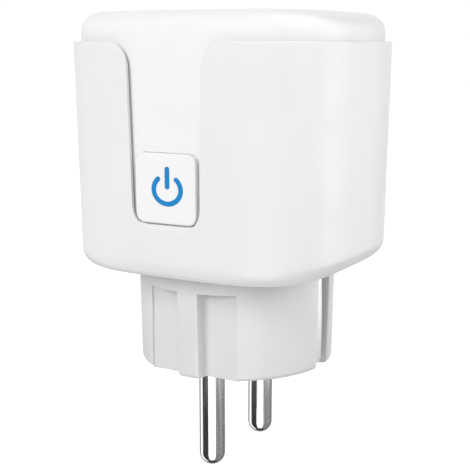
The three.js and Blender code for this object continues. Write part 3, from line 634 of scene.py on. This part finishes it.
def inner_shell():
    plain, ribbed = bore_columns()
    front, back, window_row = recess_rows(plain, ribbed)
    tube_top = back[-1]
    inside_top = square_ring(half_at(CEILING) - SHELL_INSET, CEILING)
    inside_top = inside_top - outward(inside_top) * SHELL_WALL
    rows = rim_rows(plain)
    front += rows
    back += [tube_top + (inside_top - tube_top) * k / len(rows) for k in range(1, len(rows) + 1)]
    first_wall = len(front) - 1
    heights = np.linspace(SHELL_TOP - SHELL_ROUND, SHELL_BOTTOM, 52)
    for z in heights[1:]:
        ring = square_ring(half_at(z) - SHELL_INSET, z)
        front.append(ring)
        back.append(ring - outward(ring) * SHELL_WALL)
    sheet = Surface(front, back)
    reach = BUTTON_PATCH_COLUMNS
    top_row = first_wall + int(np.argmin(np.abs(heights - (BUTTON_CENTRE + BUTTON_PATCH))))
    low_row = first_wall + int(np.argmin(np.abs(heights - (BUTTON_CENTRE - BUTTON_PATCH))))
    in_window = np.abs(plain[:, 1]) <= WINDOW_HALF + TINY
    window = {k for k in range(COLUMNS) if in_window[k] and in_window[(k + 1) % COLUMNS]}

    def skip(column, row):
        in_button = top_row <= row < low_row and (column < reach or column >= COLUMNS - reach)
        return in_button or (row < window_row and column in window)

    sheet.fill(skip)
    left = [sheet.at(-reach, row) for row in range(top_row, low_row)]
    bottom = [sheet.at(column, low_row) for column in range(-reach, reach)]
    right = [sheet.at(reach, row) for row in range(low_row, top_row, -1)]
    top = [sheet.at(column, top_row) for column in range(reach, -reach, -1)]
    hole = opening_outline([len(left), len(bottom), len(right), len(top)])
    border = left + bottom + right + top
    sheet.weave(border, hole, (0.75, 0.5, 0.3, 0.14, 0.0), SHELL_INSET, SHELL_WALL, True)
    # the shell takes the lighter copy of the white plastic, which is painted light
    make("shell", *sheet.solid(shell_edge), nodes=["inner_shell"], look="lit_shell_plastic")


def rounded_rectangle(half_width, half_height, radius, centre_z, side_steps=6, corner_steps=8):
    """The outline in X and Z, counter-clockwise seen from -Y."""
    corners = [(half_width - radius, centre_z + half_height - radius, 0),
               (radius - half_width, centre_z + half_height - radius, 90),
               (radius - half_width, centre_z + radius - half_height, 180),
               (half_width - radius, centre_z + radius - half_height, 270)]
    points = []
    for index, (x, z, start) in enumerate(corners):
        points += arc(x, z, radius, start, start + 90, corner_steps)
        after = corners[(index + 1) % 4]
        goal = arc(after[0], after[1], radius, after[2], after[2] + 90, 1)[0]
        here = points[-1]
        for step in range(1, side_steps):
            share = step / side_steps
            points.append((here[0] + share * (goal[0] - here[0]), here[1] + share * (goal[1] - here[1])))
    return points


def opening_outline(counts):
    """The button's opening, from its top left corner down and round, with set numbers of points a side."""
    width, height = BUTTON_HALF_WIDTH + OPENING_GAP, BUTTON_HALF_HEIGHT + OPENING_GAP
    x, z = width - BUTTON_CORNER, height - BUTTON_CORNER
    low, high = BUTTON_CENTRE - z, BUTTON_CENTRE + z
    runs = [
        arc(-x, high, BUTTON_CORNER, 135, 180, 6) + arc(-x, low, BUTTON_CORNER, 180, 225, 6),
        arc(-x, low, BUTTON_CORNER, 225, 270, 6) + arc(x, low, BUTTON_CORNER, 270, 315, 6),
        arc(x, low, BUTTON_CORNER, 315, 360, 6) + arc(x, high, BUTTON_CORNER, 0, 45, 6),
        arc(x, high, BUTTON_CORNER, 45, 90, 6) + arc(-x, high, BUTTON_CORNER, 90, 135, 6),
    ]
    return np.concatenate([resampled(run, count + 1)[:-1] for run, count in zip(runs, counts)])


def screw_posts():
    solids = []
    for sx in (1, -1):
        for sy in (1, -1):
            profile = [(1.45, SHELL_BOTTOM + 0.1), (2.6, SHELL_BOTTOM + 0.1), (2.8, SHELL_BOTTOM + 0.3),
                       (2.8, TUBE_BOTTOM - 0.1), (1.45, TUBE_BOTTOM - 0.1)]
            solids.append(turned(profile, sx * SCREW_PLACE, sy * SCREW_PLACE, 40, loop=True))
    make("screw_posts", *merged(solids))


# ---- plug base ----
RIDGE_HALF = 2.05
FLUTE_SIDE = 8.72
FLUTE_FLOOR = 15.45
FLUTE_TOP = 15.7
SLOT_HALF = 2.3
SLOT_FLOOR = 16.35
SLOT_TOP = 18.4
FLANGE_BOTTOM = SLEEVE_BOTTOM + 0.3
GROOVE_EDGE = 0.25
COLUMN_ANGLE = math.radians(1.9)
FOOT_ROUND = 1.0
GROOVE_ROUND = 0.3
FLANGE_HALF, FLANGE_TOP = 20.3, 21.2
COLLAR_HALF, COLLAR_TOP = SLEEVE_FOOT_HALF - 1.55, 22.7


def groove(near, far, floor):
    """Columns across one groove: where each is, and its depth from the axis, or None on the barrel."""
    columns = [(near - GROOVE_EDGE, None), (near, "edge"), (near, floor + 0.15), (near + 0.15, floor)]
    inner = np.linspace(near + 0.15, far - 0.15, max(3, int((far - near) / 0.7)))[1:-1]
    columns += [(x, floor) for x in inner]
    columns += [(far - 0.15, floor), (far, floor + 0.15), (far, "edge"), (far + GROOVE_EDGE, None)]
    return columns


def base_columns():
    """All columns round the barrel, as (place across, depth, quarter turn)."""
    columns = []
    radius = BASE_TOP_RADIUS
    quarter_end = math.radians(45)
    quarter_grooves = (
        [groove(-FLUTE_SIDE, -RIDGE_HALF, FLUTE_FLOOR), groove(RIDGE_HALF, FLUTE_SIDE, FLUTE_FLOOR)],
        [groove(-SLOT_HALF, SLOT_HALF, SLOT_FLOOR)],
    )

    def plain_barrel(first, last, fewest):
        steps = max(fewest, int(round((last - first) / COLUMN_ANGLE)))
        for angle in np.linspace(first, last, steps, endpoint=False):
            columns.append((radius * math.sin(angle), None, turn))

    for turn in range(4):
        place = -radius * math.sin(quarter_end)
        for cut in quarter_grooves[turn % 2]:
            plain_barrel(math.asin(place / radius), math.asin(cut[0][0] / radius), 1)
            columns += [(across, depth, turn) for across, depth in cut]
            place = cut[-1][0] + 0.05
        plain_barrel(math.asin((place + 0.4) / radius), quarter_end, 2)
    return columns


def base_ring(columns, z, inset, grooved, floor_inset=0.0, floor_z=None):
    """One ring round the barrel, drawn in by inset.

    grooved holds the turns (0 front and back, 1 sides) whose grooves are cut at this height. The
    groove's floor may be drawn in further and lie at another height, for its rounded end.
    """
    radius = BASE_FOOT_RADIUS + (BASE_TOP_RADIUS - BASE_FOOT_RADIUS) * z / FLANGE_BOTTOM
    ring = []
    seen = {}
    for across, depth, turn in columns:
        height = z
        scaled = across * radius / BASE_TOP_RADIUS if depth is None else across
        out = math.sqrt(max(radius ** 2 - scaled ** 2, 0))
        if inset:
            shrink = (radius - inset) / radius
            scaled, out = (scaled * shrink, out * shrink) if depth is None else (scaled, out - inset)
        if depth is not None:
            if turn % 2 in grooved:
                if depth == "edge":
                    out = out - 0.2
                else:
                    out = depth - floor_inset
                    height = z if floor_z is None else floor_z
            else:
                key = (round(across, 4), turn)
                seen[key] = seen.get(key, 0) + 1
                scaled = across + 0.04 * (seen[key] - 1) * (1 if across > 0 else -1)
                out = math.sqrt(radius ** 2 - scaled ** 2) - inset
        x, y = scaled, -out
        for _ in range(turn):
            x, y = -y, x
        ring.append((x, y, height))
    return ring


def polar_ring(columns, reach, z):
    """A ring at the columns' directions, at the distance that reach(angle) gives."""
    ring = []
    for x, y, _ in base_ring(columns, FLANGE_BOTTOM, 0.0, ()):
        angle = math.atan2(y, x)
        distance = reach(angle)
        ring.append((distance * math.cos(angle), distance * math.sin(angle), z))
    return ring


def square_reach(half):
    """The distance of the superellipse of this half side, by angle."""
    def reach(angle):
        return half / (abs(math.cos(angle)) ** POWER + abs(math.sin(angle)) ** POWER) ** (1 / POWER)
    return reach


def hollow_reach(angle):
    """The hollow inside the barrel: round, and flattened where the grooves are."""
    return min(16.2, 14.6 / max(abs(math.cos(angle)), TINY), 13.7 / max(abs(math.sin(angle)), TINY))


def base_rings():
    """From the end face up the barrel, round the flange and collar, and down inside the hollow."""
    columns = base_columns()
    rings = []
    for angle in np.linspace(0, math.pi / 2, 7):
        drawn_in, up = 1 - math.sin(angle), 1 - math.cos(angle)
        rings.append(base_ring(columns, FOOT_ROUND * up, FOOT_ROUND * drawn_in, (0, 1),
                               GROOVE_ROUND * drawn_in, GROOVE_ROUND * up))
    for z in np.linspace(FOOT_ROUND, FLUTE_TOP, 9)[1:]:
        rings.append(base_ring(columns, z, 0.0, (0, 1)))
    for z in (FLUTE_TOP + STEP, FLUTE_TOP + 0.9, SLOT_TOP - 0.8, SLOT_TOP):
        rings.append(base_ring(columns, z, 0.0, (1,)))
    for z in (SLOT_TOP + STEP, FLANGE_BOTTOM):
        rings.append(base_ring(columns, z, 0.0, ()))
    for half, z in ((FLANGE_HALF - 0.2, FLANGE_BOTTOM), (FLANGE_HALF, FLANGE_BOTTOM + 0.2),
                    (FLANGE_HALF, FLANGE_TOP), (COLLAR_HALF, FLANGE_TOP),
                    (COLLAR_HALF, COLLAR_TOP - 0.2), (COLLAR_HALF - 0.2, COLLAR_TOP)):
        rings.append(polar_ring(columns, square_reach(half), z))
    for z in (COLLAR_TOP, 12.0, 2.2):
        rings.append(polar_ring(columns, hollow_reach, z))
    return rings


def base_holes():
    """The pin holes, the slits for the side contacts, the earth pin's hole and the screws' holes."""
    holes = []
    pin_hole = PIN_RADIUS + 0.12
    pin_profile = [(pin_hole + 0.35, -0.3), (pin_hole + 0.3, 0.0), (pin_hole + 0.1, 0.1), (pin_hole, 0.3),
                   (pin_hole, 4.0)]
    for side in (1, -1):
        holes.append(turned(pin_profile, 0, side * PIN_OFFSET, 64))
        slit = sorted((side * 13.5, side * 17.0))
        holes.append(box_solid(*slit, -2, 2, 16.3, 17.6))
    earth_profile = [(3.75, -0.3), (3.7, 0.0), (3.45, 0.12), (3.3, 0.4), (3.3, 4.0)]
    holes.append(turned(earth_profile, EARTH_HOLE_PLACE, 0.0, 64))
    screw_hole = [(2.75, 18.9), (2.65, 19.2), (2.5, 19.3), (2.45, 19.45), (2.45, 20.9)]
    screw_hole += [(1.5, 20.9), (1.5, 23.5)]
    for sx in (1, -1):
        for sy in (1, -1):
            holes.append(turned(screw_hole, sx * SCREW_PLACE, sy * SCREW_PLACE, 48))
    return holes


def plug_base():
    # the base takes the darker copy of the white plastic, which is painted shade
    base = make("base", *lofted(base_rings()), nodes=["plug_base"], look="shaded_base_plastic")
    carve(base, base_holes())


# ---- metal pieces ----
def mains_pins():
    for name, side in (("live_pin", -1), ("neutral_pin", 1)):
        tip = -PIN_LENGTH
        profile = [(0.02, tip)]
        profile += [(PIN_RADIUS * math.sin(a), tip + PIN_RADIUS * (1 - math.cos(a)))
                    for a in np.radians(np.linspace(7, 90, 14))]
        profile += [(PIN_RADIUS, -9.0), (PIN_RADIUS, 0.0), (PIN_RADIUS, 2.5)]
        profile += [(3.3, 2.5), (3.4, 2.6), (3.4, 3.9), (3.3, 4.0), (1.8, 4.0), (1.8, 7.3), (1.6, 7.5)]
        make(name + "_turned", *turned(profile, 0, side * PIN_OFFSET, 96), nodes=[name], slot="nickel")


SHANK_RADIUS = 1.2
THREAD_ROOT = 1.0
THREAD_PITCH = 0.9
THREAD_END, SCREW_TIP = 34.5, 36.0


def screw_profile(low):
    head = [(0.5, low), (1.5, low + 0.03), (1.95, low + 0.16), (2.15, low + 0.4), (2.2, low + 0.7),
            (2.2, low + 1.25), (2.15, low + 1.3)]
    shank = [(SHANK_RADIUS, low + 1.3)]
    z = low + 1.6
    while z < THREAD_END:
        shank += [(SHANK_RADIUS, z), (THREAD_ROOT, z + 0.35), (SHANK_RADIUS, z + 0.7)]
        z += THREAD_PITCH
    return head + shank + [(0.2, SCREW_TIP)]


def cross_slot(x, y, low, wide, deep):
    """One arm of the cross recess in a screw's head, narrower at its end."""
    def rectangle(half_x, half_y, z):
        return [(x - half_x, y - half_y, z), (x + half_x, y - half_y, z),
                (x + half_x, y + half_y, z), (x - half_x, y + half_y, z)]

    return lofted([rectangle(wide, deep, low - 0.5), rectangle(wide * 0.55, deep * 0.8, low + 0.8)])


def base_screws():
    low = FLANGE_BOTTOM + 0.2
    for number, (sx, sy) in enumerate(((1, 1), (-1, 1), (-1, -1), (1, -1)), 1):
        x, y = sx * SCREW_PLACE, sy * SCREW_PLACE
        solid = turned(screw_profile(low), x, y, 40)
        screw = make(f"screw_{number}", *solid, nodes=[f"base_screw_{number}"], slot="steel")
        for wide, deep in ((1.3, 0.3), (0.3, 1.3)):
            carve(screw, [cross_slot(x, y, low, wide, deep)])


def strip(name, line, thickness, half_width, node, body="housing"):
    """A bent sheet-metal strip with softened edges; the line is in X and Z, the width along Y."""
    points = resampled(smooth_line(line), 60)
    along = np.gradient(points, axis=0)
    along /= np.linalg.norm(along, axis=1)[:, None]
    side = np.c_[-along[:, 1], along[:, 0]]
    soft = thickness * 0.28
    half = thickness / 2
    section = [(half, half_width - soft), (half - soft, half_width), (soft - half, half_width),
               (-half, half_width - soft), (-half, soft - half_width), (soft - half, -half_width),
               (half - soft, -half_width), (half, soft - half_width)]
    rings = []
    for point, across in zip(points, side):
        rings.append([(point[0] + across[0] * u, v, point[1] + across[1] * u) for u, v in section])
    # the strips take the darker copy of the nickel, which is painted shade
    make(name, *lofted(rings), body=body, nodes=[node], slot="nickel", look="shaded_satin_nickel")


def smooth_line(line, radius=0.7):
    """The line with its inner corners rounded."""
    points = [np.array(p, float) for p in line]
    result = [points[0]]
    for before, corner, after in zip(points, points[1:], points[2:]):
        first, second = before - corner, after - corner
        reach = min(radius, np.linalg.norm(first) * 0.45, np.linalg.norm(second) * 0.45)
        start = corner + first / np.linalg.norm(first) * reach
        end = corner + second / np.linalg.norm(second) * reach
        for share in (0.0, 0.25, 0.5, 0.75, 1.0):
            result.append((1 - share) ** 2 * start + 2 * share * (1 - share) * corner + share ** 2 * end)
    result.append(points[-1])
    return result


SHEET_METAL = 0.7
CONTACT_PLACE, CONTACT_BOW, CONTACT_HALF = 16.85, 0.1, 1.2
CONTACT_LOW, CONTACT_HIGH = 1.2, 16.95
CLIP_PLACE, CLIP_BOW, CLIP_HALF = 20.3, 2.7, 2.0
CLIP_ROOT, CLIP_LOW, CLIP_LENGTH = 45.3, 48.3, 11.3


def earth_contacts():
    for name, side in (("right", 1), ("left", -1)):
        line = []
        for share in np.linspace(0, 1, 9):
            x = CONTACT_PLACE + CONTACT_BOW * math.sin(share * math.pi)
            line.append((side * x, CONTACT_LOW + share * (CONTACT_HIGH - CONTACT_LOW)))
        line += [(side * 13.95, CONTACT_HIGH), (side * 13.95, 22.9)]
        strip(f"side_contact_{name}", line, SHEET_METAL, CONTACT_HALF, f"side_earth_contact_{name}")
        line = [(side * CLIP_PLACE, CLIP_ROOT)]
        for share in np.linspace(0, 1, 17):
            x = CLIP_PLACE - CLIP_BOW * math.sin(share * math.pi) ** 2
            line.append((side * x, CLIP_LOW + share * CLIP_LENGTH))
        strip(f"clip_{name}", line, SHEET_METAL, CLIP_HALF, f"earth_clip_{name}", f"{name}_clip")
    profile = [(2.5, 0.4), (2.6, 0.3), (2.9, 0.3), (3.0, 0.4), (3.0, 15.5), (2.5, 15.5)]
    tube = turned(profile, EARTH_HOLE_PLACE, 0.0, 64, loop=True)
    make("earth_sleeve", *tube, nodes=["earth_pin_socket"], slot="nickel")


def socket_floor():
    top = RECESS_FLOOR
    profile = [(0.02, top - 2.5), (19.3, top - 2.5), (19.5, top - 2.3), (19.5, top - 0.5),
               (19.3, top - 0.3), (16.0, top - 0.3), (15.75, top), (8.0, top), (0.02, top)]
    floor = make("recess_floor", *turned(profile, 0, 0, 128), nodes=["socket_floor"])
    hole = [(3.0, top - 4), (3.0, top - 0.8), (3.15, top - 0.35), (3.5, top - 0.05), (3.7, top + 0.1),
            (3.7, top + 1)]
    carve(floor, [turned(hole, 0, side * PIN_OFFSET, 64) for side in (1, -1)])


# ---- button ----
ICON_ACROSS = 0.45
ICON_CENTRE = 34.7
ICON_RADIUS = 2.77
ICON_STROKE = 0.8
ICON_WIDENING = 1.12
ICON_GAP = 42.0
BAR_BOTTOM, BAR_TOP = 34.8, 38.6


def outline_ring(points, y):
    return [(x, y, z) for x, z in points]


def symbol_outlines(grow):
    """The power symbol's ring and bar, with round ends, counter-clockwise seen from -Y."""
    radius = ICON_RADIUS - ICON_STROKE / 2
    half = ICON_STROKE / 2 + grow
    start, end = 90 + ICON_GAP, 450 - ICON_GAP
    first = (radius * math.cos(math.radians(start)), ICON_CENTRE + radius * math.sin(math.radians(start)))
    last = (radius * math.cos(math.radians(end)), ICON_CENTRE + radius * math.sin(math.radians(end)))
    ring = arc(0, ICON_CENTRE, radius + half, start, end, 72)
    ring += arc(*last, half, end, end + 180, 8)[1:-1]
    ring += arc(0, ICON_CENTRE, radius - half, end, start, 72)
    ring += arc(*first, half, start + 180, start + 360, 8)[1:-1]
    bar = arc(0, BAR_TOP - ICON_STROKE / 2, half, 0, 180, 10)
    bar += arc(0, BAR_BOTTOM + ICON_STROKE / 2, half, 180, 360, 10)
    return [[(ICON_ACROSS + ICON_WIDENING * x, z) for x, z in outline] for outline in (ring, bar)]


def power_button():
    def ring(grow, y):
        corner = max(0.3, BUTTON_CORNER + min(grow, 0))
        width, height = BUTTON_HALF_WIDTH + grow, BUTTON_HALF_HEIGHT + grow
        return outline_ring(rounded_rectangle(width, height, corner, BUTTON_CENTRE), y)

    soft = BUTTON_SOFT_EDGE
    rings = []
    for step in range(7):
        a = step / 6 * math.pi / 2
        rings.append(ring(-soft * (1 - math.sin(a)), BUTTON_FACE + soft * (1 - math.cos(a))))
    rings += [ring(0, -23.0), ring(0, -21.76), ring(1.0, -21.75), ring(1.0, -21.0), ring(-1.1, -21.0)]
    rings += [ring(-1.1, -23.5)]
    cap = make("button_cap", *lofted(rings), body="button", nodes=["power_button"], slot="button_plastic")
    cutters = [lofted([outline_ring(points, BUTTON_FACE - 0.5), outline_ring(points, BUTTON_FACE + 2)])
               for points in symbol_outlines(0.03)]
    carve(cap, cutters)
    solids = []
    for points, thin in zip(symbol_outlines(0.0), symbol_outlines(-0.06)):
        rings = [outline_ring(thin, BUTTON_FACE + 0.02), outline_ring(points, BUTTON_FACE + 0.08)]
        solids.append(lofted(rings + [outline_ring(points, -23.3)]))
    plate = rounded_rectangle(4.6, 4.6, 0.5, BUTTON_CENTRE)
    solids.append(lofted([outline_ring(plate, -23.3), outline_ring(plate, -22.35)]))
    make("lit_symbol", *merged(solids), body="button", nodes=["button_light_guide"],
         slot="blue_light_guide")
    block = box_solid(-5.4, 5.4, -21.7, -20.55, 29.8, 32.2)
    bridge = make("button_bridge", *block, body="button", slot="button_plastic")
    bridge.modifiers.clear()
    bevel = bridge.modifiers.new("soft_edges", "BEVEL")
    bevel.width = 0.2 * MM
    bevel.segments = 3


# ---- carried-over nodes ----
def dress_nodes():
    """Each CAD node that stays gets the material of the record's slot that it is painted with."""
    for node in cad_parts.values():
        if node.hide_render:
            continue
        for slot in node.material_slots:
            name = slot.material.name.split(".")[0] if slot.material else ""
            if name in materials:
                slot.material = materials[name]


outer_sleeve()
inner_shell()
screw_posts()
plug_base()
mains_pins()
base_screws()
earth_contacts()
socket_floor()
power_button()
dress_nodes()


# ---- floor, light and camera ----
CAMERA_AZIMUTH = math.radians(29.23)
CAMERA_PITCH = 0.1807
CAMERA_DISTANCE, CAMERA_HEIGHT = 0.19417, 0.05859

STUDIO_RADIUS = 4.0
BACKDROP_RADIUS = 8.0
FLOOR_REACH = 7.0
FLOOR_LEVEL = -60 * MM

# brightness of the studio round the object, by degrees to the right of the camera:
# low down, where the pins see it, it has dark cards between tall soft boxes
LOW_STUDIO = ((-180, 0.25), (-165, 0.3), (-150, 0.35), (-128, 0.35), (-120, 1.4), (-99, 1.4),
              (-91, 0.04), (-35, 0.04), (-28, 2.6), (24, 2.6), (32, 0.36), (60, 0.2), (86, 0.34),
              (113, 0.18), (140, 0.3), (165, 0.3), (180, 0.25))
UNDERNEATH = 0.06

# and from a little below the horizon upwards it is bright all round
HIGH_STUDIO = ((-180, 1.0), (25, 1.0), (60, 3.4), (118, 4.6), (131, 0.8), (180, 0.9))

# brightness of the soft light by height, from straight below (-1) to straight above (1)
SKY = ((-1.0, 1.15), (-0.6, 0.9), (-0.35, 0.5), (-0.05, 0.34), (0.3, 0.41), (1.0, 0.42))


def shell_of_light(name, radius, camera, glossy):
    """A big glowing sphere that only some rays see, with its look and its emission node."""
    mesh = bpy.data.meshes.new(name)
    rings = [(radius * math.sin(a), -radius * math.cos(a)) for a in np.radians(np.linspace(1, 179, 40))]
    vertices, faces = turned(rings, steps=96)
    mesh.from_pydata(vertices, [], faces)
    ball = new_object(name, mesh)
    ball.visible_camera = camera
    ball.visible_glossy = glossy
    ball.visible_diffuse = False
    ball.visible_transmission = camera
    ball.visible_shadow = False
    material, look, shader = new_material(name)
    look.tree.nodes.remove(shader)
    glow = look.add("Emission")
    look.link(glow.outputs["Emission"], look.tree.nodes["Material Output"].inputs["Surface"])
    ball.data.materials.append(material)
    return look, glow


def white_backdrop():
    _, glow = shell_of_light("backdrop", BACKDROP_RADIUS, True, False)
    put(glow, {"Strength": 1.02})


def reflected_studio():
    """The studio as gloss and metal see it."""
    look, glow = shell_of_light("reflected_studio", STUDIO_RADIUS, False, True)
    turn = look.add("Mapping")
    put(turn, {"Rotation": (0, 0, math.pi / 2 - CAMERA_AZIMUTH)})
    look.link(look.place.outputs["Object"], turn.inputs["Vector"])
    apart = look.add("SeparateXYZ")
    look.link(turn.outputs["Vector"], apart.inputs["Vector"])
    angle = look.add("Math")
    angle.operation = "ARCTAN2"
    look.link(apart.outputs["Y"], angle.inputs[0])
    look.link(apart.outputs["X"], angle.inputs[1])
    share = look.spread(angle.outputs["Value"], 0.0, 1.0, -math.pi, math.pi)
    peak = max(value for _, value in LOW_STUDIO + HIGH_STUDIO)

    def fading(below, above):
        """A mix that goes from one colour to the other between two heights, as parts of the radius."""
        node = look.add("MixRGB")
        rise = (below * STUDIO_RADIUS, above * STUDIO_RADIUS)
        look.link(look.spread(apart.outputs["Z"], 0.0, 1.0, *rise), node.inputs["Fac"])
        return node

    blend = fading(-0.29, -0.265)
    for socket, stops in (("Color1", LOW_STUDIO), ("Color2", HIGH_STUDIO)):
        greys = [((degrees + 180) / 360, (value / peak,) * 3) for degrees, value in stops]
        look.link(look.ramp(share, greys), blend.inputs[socket])
    ground = fading(-0.95, -0.9)
    put(ground, {"Color1": (UNDERNEATH / peak,) * 3 + (1,)})
    look.link(blend.outputs["Color"], ground.inputs["Color2"])
    look.link(ground.outputs["Color"], glow.inputs["Color"])
    put(glow, {"Strength": peak})


def floor():
    mesh = bpy.data.meshes.new("floor")
    corners = ((-1, -1), (1, -1), (1, 1), (-1, 1))
    points = [(x * FLOOR_REACH, y * FLOOR_REACH, FLOOR_LEVEL) for x, y in corners]
    mesh.from_pydata(points, [], [(0, 1, 2, 3)])
    ground = new_object("floor", mesh)
    ground.visible_diffuse = False
    ground.visible_glossy = False
    material, look, shader = new_material("pale_floor")
    grey = look.between(look.noise(3.0, 2.0), (0.3, 0.3, 0.3), (0.32, 0.32, 0.32))
    look.link(grey, shader.inputs["Base Color"])
    put(shader, {"Roughness": 1.0, "Specular IOR Level": 0.0})
    put(shader, {"Emission Color": (1, 1, 1, 1), "Emission Strength": 0.9})
    ground.data.materials.append(material)


def area_light(name, place, target, size, power):
    light = bpy.data.lights.new(name, "AREA")
    light.shape = "RECTANGLE"
    light.size, light.size_y = size
    light.energy = power
    lamp = new_object(name, light)
    lamp.location = place
    lamp.rotation_euler = (Vector(target) - Vector(place)).to_track_quat("-Z", "Y").to_euler()
    lamp.visible_glossy = False


def sky():
    """Soft light from all round, brightest from below as over a white table."""
    world = bpy.data.worlds.new("studio")
    bpy.context.scene.world = world
    look = Look(world)
    apart = look.add("SeparateXYZ")
    look.link(look.place.outputs["Generated"], apart.inputs["Vector"])
    rise = look.spread(apart.outputs["Z"], 0.0, 1.0, -1.0, 1.0)
    ramp = look.ramp(rise, [((height + 1) / 2, (value,) * 3) for height, value in SKY])
    background = look.tree.nodes["Background"]
    look.link(ramp, background.inputs["Color"])
    put(background, {"Strength": 1.0})


def lights():
    sky()
    middle = (0.0, 0.0, 0.03)
    area_light("key", (-0.08, -0.9, 0.54), middle, (0.5, 0.6), 7.0)
    area_light("rim", (0.9, 0.1, 0.3), middle, (0.5, 0.6), 2.7)
    area_light("back", (-0.25, 0.9, 0.35), middle, (0.6, 0.6), 4.0)


def camera():
    data = bpy.data.cameras.new("camera")
    data.lens = 80.0
    data.sensor_width = 36.0
    data.shift_x = -0.0046
    data.clip_start = 0.01
    lens = new_object("camera", data)
    across, forward = math.sin(CAMERA_AZIMUTH), math.cos(CAMERA_AZIMUTH)
    lens.location = (CAMERA_DISTANCE * across, -CAMERA_DISTANCE * forward, CAMERA_HEIGHT)
    level = math.cos(CAMERA_PITCH)
    look = Vector((-across * level, forward * level, -math.sin(CAMERA_PITCH)))
    lens.rotation_euler = look.to_track_quat("-Z", "Y").to_euler()
    bpy.context.scene.camera = lens


white_backdrop()
reflected_studio()
floor()
lights()
camera()
bpy.context.scene.view_settings.view_transform = "Standard"
